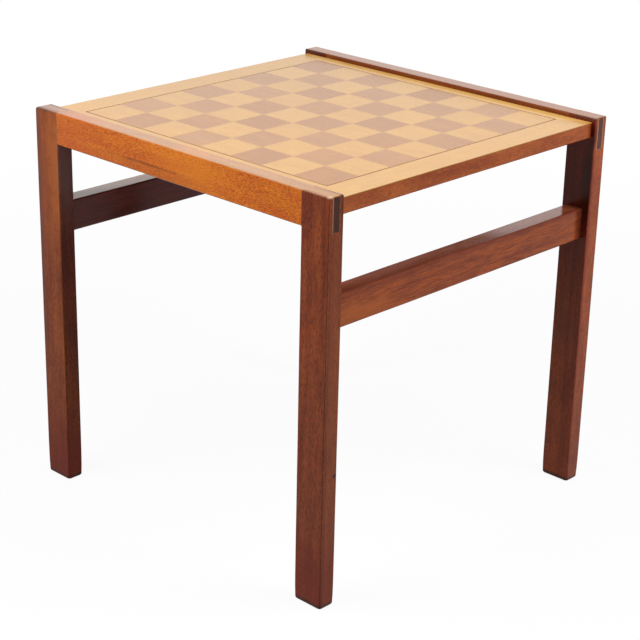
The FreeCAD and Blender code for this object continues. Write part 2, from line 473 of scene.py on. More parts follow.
def lay_grain(finish, along, middle, pith):
    """Coordinates in the tree: turn (p - middle) + pith. The trunk's heart is where X = Y = 0."""
    shift = Vector(pith) - turned(along) @ Vector(middle)
    return finish.add("Mapping", {"Vector": finish.place, "Location": shift,
                                  "Rotation": TURNS[along]})


for along, axis in AXES.items():
    upwards = turned(along) @ Vector(axis)
    print(f"grain along {along} is turned to", [round(part) for part in upwards])

# %% [markdown]
# ## Marks of use
#
# Knocks, dirt, painted shadows and a painted highlight on a corner belong to one place on one leg.
# They could be painted on a picture that is wrapped round the leg, but such a picture has seams and
# only so many dots. Here a mark is a soft region of space, like a drop of stain that soaked into
# the wood, so it runs round an edge without a seam. Noise frays its rim.

# %% Marks
Mark = namedtuple("Mark", "centre half tint strength")       # half: half sizes in X, Y and Z
MARK_WAVER = (60, 60, 60)                   # waves a metre, of the noise that frays the rim
MARK_RIM = 0.5, 1.25                        # where the rim starts and ends, in half sizes


def marked(finish, colour, marks):
    """Lays marks over a colour: each covers the ellipsoid |(p - centre) / half| + noise / 2 < 1."""
    waver = finish.noise(finish.vector("MULTIPLY", finish.place, MARK_WAVER), 2.0)
    for mark in marks:
        inwards = finish.vector("SUBTRACT", finish.place, mark.centre)
        away = finish.vector("LENGTH", finish.vector("DIVIDE", inwards, mark.half))
        away = finish.math("MULTIPLY_ADD", waver, 0.5, away)
        inside = finish.math("SUBTRACT", 1.0, finish.between(away, *MARK_RIM))
        colour = finish.mix(finish.math("MULTIPLY", inside, mark.strength), colour, mark.tint)
    return colour


print("a mark has", ", ".join(Mark._fields))

# %% [markdown]
# ## Lines of old glue
#
# Round each tenon's end a pale line of glue shows. It is too thin for a piece of its own. An
# image would blur it. The tenon's outline is a rectangle, so the distance to it is a short sum,
# and the line is where that distance is small. The line can be strong on one side and faint on
# the other, as squeezed-out glue is.

# %% Glue lines
GLUE = seen(206, 152, 124)
GLUE_HALF = 0.9 * MM                        # half the width of a line
GLUE_CORE = 0.4 * GLUE_HALF                 # up to here it is at its strongest
LOOKING = 0.6, 0.9                          # cosines where a face begins to look a way, and does


def glue_line(finish):
    """1 on the line round a tenon's end and 0 off it.

    The distance is the larger of |across| - half the tenon's thickness, and how far a point is
    below the tenon. Its size has to be under GLUE_HALF, on a face that looks along Y.
    """
    x, y, z = finish.split(finish.place)
    across = finish.math("SUBTRACT", finish.math("ABSOLUTE", x), LEG_X)
    beside = finish.math("SUBTRACT", finish.math("ABSOLUTE", across), BRIDLE_TENON / 2)
    below = finish.math("SUBTRACT", RAIL_BOTTOM, z)
    off = finish.math("ABSOLUTE", finish.math("MAXIMUM", beside, below))
    line = finish.math("SUBTRACT", 1.0, finish.between(off, GLUE_CORE, GLUE_HALF))
    along_y = finish.math("ABSOLUTE", finish.split(finish.facing)[1])
    return finish.math("MULTIPLY", line, finish.between(along_y, *LOOKING)), across, z


def glued(finish, colour, inner, outer, under):
    """Lays the line over a colour, with a strength for its inner side, outer side and lower end."""
    line, across, z = glue_line(finish)
    inside = finish.math("LESS_THAN", across, 0.0)
    strength = finish.math("MULTIPLY_ADD", inside, inner - outer, outer)
    joint = finish.between(z, RAIL_BOTTOM, RAIL_BOTTOM + GLUE_HALF)
    strength = finish.math("MULTIPLY", strength,
                           finish.math("MULTIPLY_ADD", joint, 1 - under, under))
    return finish.mix(finish.math("MULTIPLY", line, strength), colour, GLUE)


print(f"glue lines are {2 * GLUE_HALF / MM:.1f} mm wide, from {RAIL_BOTTOM / MM:.0f} mm up")

# %% [markdown]
# ## How mahogany grows
#
# A tree has a heart, rings round it, and fibres that run up the trunk and sway a little. Wood
# could be drawn as stripes on a surface, but where a leg turns a corner the stripes would not
# meet. Here the tree is worked out in the round: a ring is a distance from the heart, and the
# board shows whatever its surface cuts. End grain and long grain then follow by themselves.

# %% A place in the tree
HEART_AWAY = 0.05, 0.09                     # metres to the heart, in each direction across
UP_THE_TRUNK = 1, 9                         # metres up the trunk, where a piece may come from
SWAY, SWAY_DEPTH = (14, 14, 2.2), 0.012     # waves a metre, and how far the fibres sway, metres
MIDDLE_GREY = (0.5, 0.5, 0.5)               # the mean of coloured noise


def growing_wood(finish, along, middle, seed):
    """Coordinates in a tree whose fibres sway: p + depth (noise - mean), across the grain only."""
    draw = np.random.default_rng(seed)
    heart = draw.uniform(*HEART_AWAY, 2) * draw.choice((-1, 1), 2)
    wood = lay_grain(finish, along, middle, (*heart, draw.uniform(*UP_THE_TRUNK)))
    sway = finish.noise(finish.vector("MULTIPLY", wood, SWAY), output=1)
    sway = finish.scaled(finish.vector("SUBTRACT", sway, MIDDLE_GREY), SWAY_DEPTH)
    return finish.vector("ADD", wood, finish.vector("MULTIPLY", sway, (1, 1, 0)))


print(f"fibres sway by up to {SWAY_DEPTH / 2 / MM:.0f} mm")

# %% [markdown]
# ## Streaks, specks and pores
#
# Mahogany's look is made of sizes. Ribbons are as wide as a finger, fibres as thin as a hair, and
# pores are short dark flecks that a knife cuts at a slant. One noise can't give them all, so each
# gets its own, drawn out along the grain by its own amount. The numbers are waves a metre: across,
# across, and along the grain. Few waves along means long.

# %% The grain
RIBBON_ACROSS, RIBBON_ALONG = 130, 5.0
FIBRE, CLOUD = (600, 600, 22), (55, 55, 22)
PORE_CELLS, PORE_RIM = (1000, 1000, 160), (0.10, 0.42)


def mahogany_grain(finish, wood, speck_size):
    """What shows in the wood, each from 0 to 1: streak, fibre, cloud, speck and pore.

    A streak is 0.45 ribbon, noise along the distance from the heart, plus 0.3 fibre plus 0.35
    cloud. A pore is the middle of a cell, in cells six times as long as they are wide.
    """
    x, y, z = finish.split(wood)
    ring = finish.vector("LENGTH", finish.join(x, y, 0.0))
    ribbon = finish.noise(finish.join(finish.math("MULTIPLY", ring, RIBBON_ACROSS), 0.0,
                                      finish.math("MULTIPLY", z, RIBBON_ALONG)), 3.0)
    fibre = finish.noise(finish.vector("MULTIPLY", wood, FIBRE), 4.0, 0.6)
    cloud = finish.noise(finish.vector("MULTIPLY", wood, CLOUD), 2.0)
    streak = finish.math("MULTIPLY_ADD", fibre, 0.30, finish.math("MULTIPLY", cloud, 0.35))
    streak = finish.math("MULTIPLY_ADD", ribbon, 0.45, streak)
    wide, long = speck_size
    speck = finish.vector("MULTIPLY", wood, (1 / wide, 1 / wide, 1 / long))
    speck = finish.noise(speck, 2.0, 0.6)
    cells = finish.vector("MULTIPLY", wood, PORE_CELLS)
    cells = finish.add("TexVoronoi", {"Vector": cells, "Scale": 1.0})
    pore = finish.math("SUBTRACT", 1.0, finish.between(cells, *PORE_RIM))
    return streak, fibre, cloud, speck, pore


print(f"pores: {1000 / PORE_CELLS[0]:.1f} mm wide, {1000 / PORE_CELLS[2]:.1f} mm long")

# %% [markdown]
# ## Flecks
#
# Where the surface cuts a pore at a slant, a short dark fleck shows, and where it cuts a ray, a
# light one. Thousands of small faces could be strewn over the wood, but they would not run with
# its grain. One noise gives both kinds: its low parts are the dark flecks, and its high parts the
# light ones. Bleached wood still shows the dark ones, so the function returns them too.

# %% Flecks
DARK_SPECK, LIGHT_SPECK = (0.38, 0.48), (0.51, 0.61)         # where in the noise they begin and end
SPECK_LIGHT = 0.5, 1.35                     # how much of a tone's light each kind throws back


def speckled(finish, colour, speck, tones, strengths):
    """Lays dark and light specks over a colour, and also returns where the dark ones are."""
    dark = finish.math("SUBTRACT", 1.0, finish.between(speck, *DARK_SPECK))
    light = finish.between(speck, *LIGHT_SPECK)
    for where, tone, factor, strength in zip((dark, light), tones, SPECK_LIGHT, strengths):
        colour = finish.mix(finish.math("MULTIPLY", where, strength), colour, faded(tone, factor))
    return colour, dark


print(f"dark specks below {DARK_SPECK[1]:.2f} of the noise, light ones above {LIGHT_SPECK[0]:.2f}")

# %% [markdown]
# ## The colours of the faces
#
# Cut across, mahogany drinks more stain and turns dark. On top it gets a tone of its own, partly
# sun-bleaching and partly painted sheen. Inside the frame the faces get painted shade, strongest
# higher up, under the board. Each face could have a finish of its own, but then an edge would show
# where one ends. So one finish asks, at every point, which way the face looks, and blends.

# %% Faces
INWARD, ACROSS = (0.3, 0.8), (0.55, 0.95)   # cosines, as LOOKING, of inner faces and of end grain
END_GRAIN, END_STRENGTH = seen(33, 6, 4), 0.95
# Shade holds painted shade for faces that look inwards
Shade = namedtuple("Shade", "inward tint start full below")  # start and full are heights


def facing(finish, direction, cosines=LOOKING):
    """1 where a face looks this way and 0 where it looks away, by the cosine of the angle."""
    return finish.between(finish.vector("DOT_PRODUCT", finish.facing, direction), *cosines)


def cut_across(finish, colour, along, end):
    """Lays the end grain's tone where a face looks along the grain, one way or the other."""
    cosine = finish.math("ABSOLUTE", finish.vector("DOT_PRODUCT", finish.facing, AXES[along]))
    share = finish.math("MULTIPLY", finish.between(cosine, *ACROSS), END_STRENGTH)
    return finish.mix(share, colour, end)


def shaded(finish, colour, shade):
    """Paints shade: multiplies a tint in where a face looks inwards.

    From the full height up it counts in full, and from the start height down by the share `below`.
    """
    height = finish.between(finish.split(finish.place)[2], shade.start, shade.full)
    share = finish.math("MULTIPLY_ADD", height, 1 - shade.below, shade.below)
    strength = finish.math("MULTIPLY", facing(finish, shade.inward, INWARD), share)
    return finish.mix(strength, colour, finish.mix(1.0, colour, shade.tint, "MULTIPLY"))


print("end grain keeps", round(END_GRAIN[0], 3), "of the red light")

# %% [markdown]
# ## Varnished mahogany
#
# Now the recipe, step by step: the tree's colours, the saw's end grain, a tone on top that is
# partly sun-bleaching and partly painted sheen, painted shade inside, open pores, marks of use
# along with painted shadows and highlights, rubbed edges, and glue.
# One long net for each member could be copied and changed by hand. One function with a few choices
# keeps them alike, as the members of one table are. Varnish fills most of a pore, so the bump is
# only a fiftieth of a millimetre deep.

# %% Mahogany
STREAKS = 0.38, 0.74                        # a streak is dark below the first, light above the last
TOP_SPECKS, RUBBED = 0.3, 0.3               # how strongly specks on top and rubbed edges show
TOP_SPECK_LIGHT, PORE_LIGHT, RUBBED_LIGHT = 0.6, 0.3, 0.5    # of the dark tone's light
PORE_DEPTH, FIBRE_RISE = 0.02 * MM, 0.35    # fibres rise by this share of a pore's depth
CLOUD_DULL, PORE_DULL = 0.16, 0.12          # what they change in the roughness


def mahogany(name, along, middle, seed, tones, top=None, specks=(0.4, 0.15),
             speck_size=(1.1 * MM, 6 * MM), pores=0.5, end=END_GRAIN, shade=None, marks=(),
             glue=None, roughness=0.25, ior=1.25):
    """Varnished mahogany for one member. tones are its dark and light one, top those on top, partly
    sun-bleaching and partly painted sheen.
    """
    finish = Finish(name, roughness, ior)
    wood = growing_wood(finish, along, middle, seed)
    streak, fibre, cloud, speck, pore = mahogany_grain(finish, wood, speck_size)
    share = finish.between(streak, *STREAKS)
    colour, dark = speckled(finish, finish.mix(share, *tones), speck, tones, specks)
    colour = cut_across(finish, colour, along, end)
    top = top or tones
    # the top's tone: partly sun-bleaching, partly painted sheen
    sun_and_sheen = finish.mix(finish.math("MULTIPLY", dark, TOP_SPECKS), finish.mix(share, *top),
                          faded(top[0], TOP_SPECK_LIGHT))
    colour = finish.mix(facing(finish, (0, 0, 1)), colour, sun_and_sheen)
    if shade:
        colour = shaded(finish, colour, shade)
    open_pores = finish.math("MULTIPLY", pore, pores)
    colour = finish.mix(open_pores, colour, faded(tones[0], PORE_LIGHT))
    if marks:
        colour = marked(finish, colour, marks)
    rubbed = finish.add("Attribute", {}, 2, attribute_name="rubbed")
    rubbed = finish.math("MULTIPLY", rubbed, RUBBED)
    colour = finish.mix(rubbed, colour, faded(tones[0], RUBBED_LIGHT))
    if glue:
        colour = glued(finish, colour, *glue)
    rise = finish.math("MULTIPLY", fibre, FIBRE_RISE)
    finish.bump(finish.math("SUBTRACT", rise, pore), PORE_DEPTH)
    dull = finish.math("MULTIPLY_ADD", cloud, CLOUD_DULL, roughness - CLOUD_DULL / 2)
    return finish.finished(colour, finish.math("MULTIPLY_ADD", pore, PORE_DULL, dull))


print(f"pores are {PORE_DEPTH / MM:.2f} mm deep")

# %% [markdown]
# ## Heights along a leg
#
# A leg is a square-cut post with an eased foot. Its outline changes only in a few places: round
# the foot, at the mortise, at the fork, and over the top's end edge. Even steps from floor to top
# would miss these places by a little. So the heights are gathered part by part, and each part
# starts exactly where the joint does.

# %% Heights of the outlines
FOOT_ROUND = 3.5 * MM                       # rounding round a foot


def leg_heights(end_round):
    """Heights of a leg's outlines, and the rows where the mortise and the fork begin.

    At angle t the foot's rounding has risen by R (1 - cos t), and the top's end edge is still
    E (1 - sin t) below the top.
    """
    foot = FOOT_ROUND * (1 - np.cos(QUARTER))
    below = stations_between(FOOT_ROUND, stretcher_low.z + STUB_SHOULDER)[1:]
    above = stations_between(stretcher_high.z - STUB_SHOULDER, RAIL_BOTTOM)
    head = stations_between(RAIL_BOTTOM, TABLE_TOP - end_round)
    top = TABLE_TOP - end_round * (1 - np.sin(QUARTER[1:]))
    mortise_row = len(foot) + len(below) - 1
    fork_row = mortise_row + 1 + len(above)
    return np.concatenate([foot, below, above, head, top]), mortise_row, fork_row


heights, mortise_row, fork_row = leg_heights(ARRIS)
print(f"{len(heights)} outlines, mortise from {heights[mortise_row] / MM:.1f} mm,",
      f"fork from {heights[fork_row] / MM:.1f} mm")

# %% [markdown]
# ## A leg's outlines
#
# The upright edges are only just eased, but near the floor shoes and mops have rounded them more.
# A sculpting brush could do that to each foot by hand. A radius that falls off with height says
# the same in one line, and does it for all four legs. The foot and the top are rounded the same
# way: the outline draws in as it nears the end.

# %% The outlines of a leg
LEG_CORNER = 1.2 * MM                       # rounding of the upright edges
FOOT_WEAR, FOOT_WEAR_REACH = 2.5 * MM, 12 * MM       # more of it at the floor, and how high up


def leg_outlines(z, fork_row, seed, end_round):
    """Outlines at the heights z, as points [row, point, (x, y, z)], and how rubbed they are.

    At angle t the foot is in by R (1 - sin t), and the top's end edge by E (1 - cos t). The top's
    long edges are in by A - sqrt(A^2 - h^2), at the height h above the start of the arris A. The
    corners' radius grows by W exp(-z / reach), and is nought inside the fork.
    """
    foot_in, end_in, rounding = np.zeros((3, len(z)))
    foot_in[:len(QUARTER)] = FOOT_ROUND * (1 - np.sin(QUARTER))
    end_in[1 - len(QUARTER):] = end_round * (1 - np.cos(QUARTER[1:]))
    rounding[:len(QUARTER)] = rounding[-len(QUARTER):] = RIDGE
    above_arris = np.maximum(z - TABLE_TOP + ARRIS, 0)
    edge_in = ARRIS - np.sqrt(np.maximum(ARRIS ** 2 - above_arris ** 2, 0))
    radius = LEG_CORNER * hand_eased(z, seed) + FOOT_WEAR * np.exp(-z / FOOT_WEAR_REACH)
    radii = np.repeat(radius[:, None], 4, 1)
    radii[fork_row:, :2] = 0
    radii = np.maximum(radii - edge_in[:, None], 0)
    outline, rubbed = rounded_outline(INNER_X + foot_in + edge_in, OUTER_X - foot_in - edge_in,
                                      INNER_Y + foot_in, OUTER_Y - foot_in - end_in,
                                      radii, CHEEKS, STUB_SIDES)
    heights = np.broadcast_to(z[:, None, None], (*outline.shape[:2], 1))
    return np.concatenate([outline, heights], -1), np.maximum(rubbed, rounding[:, None])


outlines, _ = leg_outlines(heights, fork_row, 31, ARRIS)
widths = np.ptp(outlines[..., 0], axis=1) / MM
print(f"{outlines.shape[1]} points round; {widths[0]:.1f} mm wide at the floor, {widths.max():.1f}",
      "above it")

# %% [markdown]
# ## Cutting the fork and the mortise
#
# The fork is open at the top and at both ends, so a tenon slides in from above. A Boolean modifier
# could cut both joints out of a plain bar, but it leaves long thin faces that catch the light
# wrongly. The outlines have points exactly where the cuts run. So the faces between these points
# are left out, and the walls and floors of the joints are put in instead.

# %% The faces of a leg
CORNER = ARC_STEPS + 1                      # points in a corner
NEAR = CORNER                               # the fork's first line, on the side towards the middle
FAR = 3 * CORNER + len(CHEEKS) + len(STUB_SIDES)     # and its last, on the end face


def leg_faces(rows, count, mortise_row, fork_row):
    """The skin without the strips of the joints, the fork's walls and floor, and the caps."""
    faces = skin(rows, count, [(fork_row, rows, NEAR), (fork_row, rows, FAR),
                               (mortise_row, mortise_row + 1, count - 2)])
    fork = np.arange(fork_row, rows) * count
    faces += ladder(fork + NEAR, fork + FAR + 1) + ladder(fork + NEAR + 1, fork + FAR)
    faces.append([fork[0] + NEAR, fork[0] + NEAR + 1, fork[0] + FAR, fork[0] + FAR + 1])
    last = (rows - 1) * count
    faces.append([last + column % count for column in range(FAR + 1, count + NEAR + 1)])
    faces.append([last + column for column in range(NEAR + 1, FAR + 1)])
    faces.append(list(range(count)))
    return faces


def pocket(mouth, deep):
    """A mortise: four walls from the mouth's points to the deep ones, and a floor."""
    walls = [[mouth[n], mouth[(n + 1) % 4], deep[(n + 1) % 4], deep[n]] for n in range(4)]
    return [*walls, deep]


print("faces of a leg:", len(leg_faces(*outlines.shape[:2], mortise_row, fork_row)), "and",
      len(pocket([0, 1, 2, 3], [4, 5, 6, 7])), "for its mortise")

# %% [markdown]
# ## One leg and its mirror images
#
# The four real legs are two pairs of mirror images, as the joints demand. A Mirror modifier would
# copy the finish with the shape, and each leg has aged in its own way. So one leg is worked out at
# the back right corner, and the signs of X and Y take it to its own corner.

# %% A leg
SIDES = {"left": -1, "right": 1}            # the sign of X
ENDS = {"front": -1, "back": 1}             # the sign of Y


def make_leg(side_name, end_name, seed, finish, end_round=ARRIS):
    """A leg: the outlines' skin with its joints, and the mortise's floor as four deeper points."""
    z, mortise_row, fork_row = leg_heights(end_round)
    outlines, rubbed = leg_outlines(z, fork_row, seed, end_round)
    rows, count = outlines.shape[:2]
    points = outlines.reshape(-1, 3)
    lower, upper = mortise_row * count, (mortise_row + 1) * count
    mouth = [lower + count - 2, lower + count - 1, upper + count - 1, upper + count - 2]
    deep = list(range(len(points), len(points) + 4))
    faces = leg_faces(rows, count, mortise_row, fork_row) + pocket(mouth, deep)
    points = np.concatenate([points, points[mouth] + (STUB_LENGTH + MORTISE_SPARE, 0, 0)])
    rubbed = np.concatenate([rubbed.ravel(), np.zeros(4)])
    points = points * (SIDES[side_name], ENDS[end_name], 1)
    return make_piece(f"{end_name}_{side_name}_leg", points, rubbed, faces, finish,
                      f"leg_{end_name}_{side_name}")


print(f"a mortise is {(STUB_LENGTH + MORTISE_SPARE) / MM:.0f} mm deep")

# %% [markdown]
# ## Wood for a leg
#
# Each leg is its own piece of mahogany, but they share some marks: darker feet, partly from mops
# and partly painted shade where less light reaches near the floor; a dark rim at the floor, partly
# grime and partly painted contact shadow; and painted shadow in the gap beside the board. Four
# recipes could say so four times. One function adds these marks, and takes the rest from the leg.

# %% A leg's wood
DEEP_RED = seen(92, 22, 8)
# tones on top of the legs: partly sun-bleaching, partly painted sheen
TOP_SUN_AND_SHEEN = seen(156, 98, 42), seen(180, 124, 76)
# painted shade, multiplied into the legs' inner faces
LEG_INNER_SHADE = seen(172, 128, 112)


def leg_wood(side_name, end_name, seed, tones, foot, glue, inner, marks=(), specks=(0.5, 0.15),
             ior=1.25):
    """A leg's mahogany. foot is the darker foot's (tint, strength), partly wear and partly painted
    shade; inner the painted shade without direction.
    """
    side, end = SIDES[side_name], ENDS[end_name]
    middle = Vector((side * LEG_X, end * LEG_Y, 0))
    gap = side * INNER_X, end * OUTER_Y, TABLE_TOP
    # the darker foot is partly wear and partly painted shade, the rim at the floor partly grime and
    # partly painted contact shadow, the gap mark painted shadow
    shared = [Mark(middle, (0.5, 0.5, 0.13), *foot),
              Mark(middle, (0.5, 0.5, 9 * MM), seen(34, 12, 8), 0.9),
              Mark(gap, (4.5 * MM, 0.07, 6 * MM), seen(84, 58, 44), 0.75)]
    return mahogany(f"leg_wood_{end_name}_{side_name}", "Z", middle, seed, tones, TOP_SUN_AND_SHEEN, specks,
                    glue=glue, shade=Shade((-side, -end, 0), *inner), marks=shared + [*marks],
                    ior=ior)


print("inner faces keep", [round(part, 2) for part in LEG_INNER_SHADE[:3]], "of their colour")

# %% [markdown]
# ## The front left leg
#
# This leg stands nearest, so it carries the most detail: a redder band, a dark line beside an edge,
# a painted shadow at the top of the inner edge, a painted highlight on the top corner, and one
# small hole. The hole could be drilled in the mesh, but at two millimetres a dark mark does as
# well. Each mark is a line in a list, so that one can be moved without touching the others.

# %% Front left
front_left = [
    # a redder band, down from the top along the outer edge
    Mark((-OUTER_X, -OUTER_Y + 6 * MM, 0.50), (4 * MM, 8 * MM, 0.20), DEEP_RED, 0.4),
    # the dark line beside that edge, on the end face
    Mark((-OUTER_X + 4 * MM, -OUTER_Y, 0.25), (2.5 * MM, 4 * MM, 0.5), seen(70, 22, 10), 0.45),
    # painted shadow: dark red at the top of the inner edge, in the gap beside the board
    Mark((-INNER_X - 2 * MM, -OUTER_Y, 0.53), (5 * MM, 6 * MM, 0.06), seen(84, 24, 14), 0.7),
    # the end face, a little paler than the rest
    Mark((-LEG_X, -OUTER_Y, 0.27), (0.02, 3 * MM, 0.4), seen(164, 92, 54), 0.3),
    # painted highlight on the top corner
    Mark((-OUTER_X + 7 * MM, -OUTER_Y + 2 * MM, TABLE_TOP), (11 * MM, 6 * MM, 2.4 * MM),
         seen(222, 190, 150), 0.7),
    # the hole
    Mark((-LEG_X + 8 * MM, -OUTER_Y, 0.181), (3.4 * MM, 3.4 * MM, 4 * MM), seen(30, 8, 4), 1.0)]
make_leg("left", "front", 31, leg_wood(
    "left", "front", 11, (seen(118, 44, 17), seen(166, 81, 37)), foot=(seen(124, 27, 3), 0.6),
    glue=(0.1, 0.6, 0.1), inner=(LEG_INNER_SHADE, 0.1, 0.3, 0.4), marks=front_left, specks=(0.65, 0.2)))

# %% [markdown]
# ## The front right leg
#
# A paler, pinker post. Its inner face gets painted shade where the board shades it, and a dark red
# painted shadow in the gap beside the board. The shades could be one soft gradient, but the real
# ones have ends, so they are marks as well.

# %% Front right
front_right = [
    # a redder inner edge, all the way down
    Mark((INNER_X + 2 * MM, -OUTER_Y, 0.30), (4 * MM, 5 * MM, 0.5), seen(128, 40, 26), 0.6),
    # the shade on the inner face, below the board
    Mark((INNER_X, -OUTER_Y + 7 * MM, 0.45), (5 * MM, 12 * MM, 0.09), seen(40, 10, 8), 0.7),
    # painted shadow, dark red, in the gap beside the board
    Mark((INNER_X, -OUTER_Y, 0.517), (6 * MM, 9 * MM, 0.026), seen(74, 14, 10), 0.85),
    # grey on the outer edge, near the top
    Mark((OUTER_X, -OUTER_Y, 0.52), (6 * MM, 5 * MM, 0.035), seen(118, 76, 66), 0.5),
    # greyer and darker on top
    Mark((OUTER_X, -OUTER_Y, TABLE_TOP), (0.05, 0.05, 3 * MM), seen(112, 80, 66), 0.35),
    # two patches on the inner face, brown half way up, and red lower down
    Mark((INNER_X, -INNER_Y - 14 * MM, 0.25), (5 * MM, 16 * MM, 0.05), seen(96, 54, 26), 0.3),
    Mark((INNER_X, -OUTER_Y + 12 * MM, 0.15), (5 * MM, 14 * MM, 0.06), seen(110, 34, 22), 0.35)]
# inner: painted shade on the inner faces
make_leg("right", "front", 32, leg_wood(
    "right", "front", 12, (seen(145, 61, 29), seen(195, 99, 54)), foot=(seen(120, 40, 20), 0.2),
    glue=(0.7, 0.7, 0.4), inner=(seen(174, 139, 125), 0.16, 0.42, 0.15), marks=front_right))

# %% [markdown]
# ## The back left leg
#
# Its top corner has been knocked round, so the top's end edge gets a larger radius here and in the
# rail's tenon, which shows in the same corner. A greyed band runs down the back, and a golden
# stripe beside the rail, where the varnish is thicker.

# %% Back left
KNOCKED = 5.0 * MM                          # rounding of a top corner that has been knocked
GREYED = seen(118, 92, 80)
knocked_corner = Mark((-OUTER_X, OUTER_Y, TABLE_TOP), (0.06, 0.07, 4 * MM), GREYED, 0.7)
back_left = [
    # painted light: the outer face is paler in its upper half, where more light falls
    Mark((-OUTER_X, LEG_Y, 0.46), (6 * MM, 0.05, 0.22), seen(176, 98, 52), 0.3),
    # the golden stripe
    Mark((-OUTER_X, INNER_Y, 0.47), (6 * MM, 26 * MM, 0.14), seen(202, 112, 50), 0.45),
    # the greyed band down the back
    Mark((-OUTER_X, OUTER_Y, 0.40), (6 * MM, 18 * MM, 0.4), seen(122, 70, 62), 0.65),
    knocked_corner,
    # the foot, redder still on its outer face
    Mark((-OUTER_X, LEG_Y, 0.04), (0.03, 0.04, 0.16), seen(116, 34, 14), 0.35),
    # lighter and greyer on the face that looks at the front, under the rail, over its painted shade
    Mark((-LEG_X, INNER_Y, 0.47), (0.02, 5 * MM, 0.12), seen(140, 112, 106), 0.6)]
# inner: painted shade on the inner faces
make_leg("left", "back", 33, leg_wood(
    "left", "back", 13, (seen(118, 46, 22), seen(172, 90, 42)), foot=(seen(124, 32, 10), 0.6),
    glue=(0.4, 0.6, 0.5), inner=(seen(204, 162, 150), 0.05, 0.4, 0.05), marks=back_left,
    specks=(0.6, 0.15), ior=1.2), end_round=KNOCKED)

# %% [markdown]
# ## The back right leg
#
# The fourth leg has only what all legs share. It could be a copy of the front left one, but a
# seed of its own gives it other streaks, as another piece of wood would have.

# %% Back right
make_leg("right", "back", 34, leg_wood(
    "right", "back", 14, (seen(118, 44, 17), seen(166, 81, 37)), foot=(DEEP_RED, 0.5),
    glue=(0.5, 0.4, 0.5), inner=(LEG_INNER_SHADE, 0.1, 0.3, 0.4)))

# %% [markdown]
# ## Side rails
#
# A rail is as thick as the legs and lies flush with them. At each end it steps in to a long tenon,
# which fills the leg's fork, so that the tenon's dark end grain shows on the leg's end face. Rail
# and tenons could be three boxes in one mesh, but then faces would hide inside the wood. It is one
# outline again: narrow in the tenon, wide in the body, and rounded where its end meets the top.

# %% A rail
def tenon_end(rounding):
    """Places from a tenon's tip inwards, and how far its top is down there.

    At angle t they are in by R (1 - cos t) and down by R (1 - sin t). The last one, with no
    rounding, is the shoulder.
    """
    along = np.append(OUTER_Y - rounding * (1 - np.cos(QUARTER)), INNER_Y)
    return along, np.append(rounding * (1 - np.sin(QUARTER)), 0)


def make_rail(side_name, seed, finish, back_round=ARRIS):
    """Outlines in X and Z carried along Y: a tenon, the body between the legs, and a tenon."""
    (front, front_drop), (back, back_drop) = tenon_end(ARRIS), tenon_end(back_round)
    body = stations_between(-INNER_Y, INNER_Y)
    y = np.concatenate([-front, body, back[::-1]])
    top = TABLE_TOP - np.concatenate([front_drop, 0 * body, back_drop[::-1]])
    number = np.arange(len(y))
    in_body = (number >= len(front)) & (number < len(front) + len(body))
    radii = np.repeat(np.where(in_body, ARRIS * hand_eased(y, seed), 0)[:, None], 4, 1)
    outline, rubbed = rounded_outline(np.where(in_body, INNER_X, CHEEKS[0]),
                                      np.where(in_body, OUTER_X, CHEEKS[1]),
                                      np.full_like(y, RAIL_BOTTOM), top, radii, CHEEKS)
    x, z = SIDES[side_name] * outline[..., 0], outline[..., 1]
    points = np.stack([x, np.broadcast_to(y[:, None], x.shape), z], -1)
    return make_piece(f"{side_name}_side_rail", points, rubbed * in_body[:, None],
                      capped_skin(*x.shape), finish, f"side_rail_{side_name}")


print(f"a rail is {2 * OUTER_Y / MM:.0f} mm long, {2 * INNER_Y / MM:.0f} mm of it between the legs")

# %% [markdown]
# ## Wood for the left rail
#
# The left rail is the brightest piece of the frame: orange, with fine dark flecks, because its
# face met the most sun. Brighter tones alone would look like plastic. So long faint marks set off
# a lighter middle, a darker lower edge, one dark streak in the grain, and a redder far end.

# %% The left rail
RAIL_INNER_SHADE = seen(166, 164, 140)            # painted shade on the rails' inner faces
rail_middle = LEG_X, 0, (RAIL_BOTTOM + TABLE_TOP) / 2
left_marks = [
    # the lighter middle
    Mark((-OUTER_X, -0.03, RAIL_BOTTOM + 24 * MM), (0.5, 0.09, 0.03), seen(240, 138, 30), 0.4),
    # the darker lower edge
    Mark((-OUTER_X, 0.04, RAIL_BOTTOM + 8 * MM), (0.5, 0.15, 10 * MM), seen(180, 82, 26), 0.5),
    # the dark streak
    Mark((-OUTER_X, 0.05, RAIL_BOTTOM + 14 * MM), (0.5, 0.10, 2.6 * MM), seen(122, 50, 18), 0.6),
    # the redder far end
    Mark((-OUTER_X, 0.24, RAIL_BOTTOM + 20 * MM), (0.5, 0.16, 0.1), seen(196, 84, 28), 0.4),
    knocked_corner]
left_rail_wood = mahogany(
    "rail_wood_left", "Y", (-LEG_X, 0, rail_middle[2]), 21, (seen(212, 94, 12), seen(240, 134, 26)),
    top=(seen(172, 118, 66), seen(190, 138, 86)), specks=(0.75, 0.4),
    speck_size=(1.15 * MM, 3.6 * MM), glue=(0.1, 0.6, 0.1), marks=left_marks,
    shade=Shade((1, 0, 0), RAIL_INNER_SHADE, 0.0, 0.1, 1.0), roughness=0.18, ior=1.28)
make_rail("left", 41, left_rail_wood, back_round=KNOCKED)

# %% [markdown]
# ## Wood for the right rail
#
# This rail is browner than the left one, and the ends of its tenons are paler. The two could share
# one material, but no two pieces of timber are alike, and this one has no marks of its own. So the
# same recipe takes other tones, and a seed that lays it elsewhere in the tree.

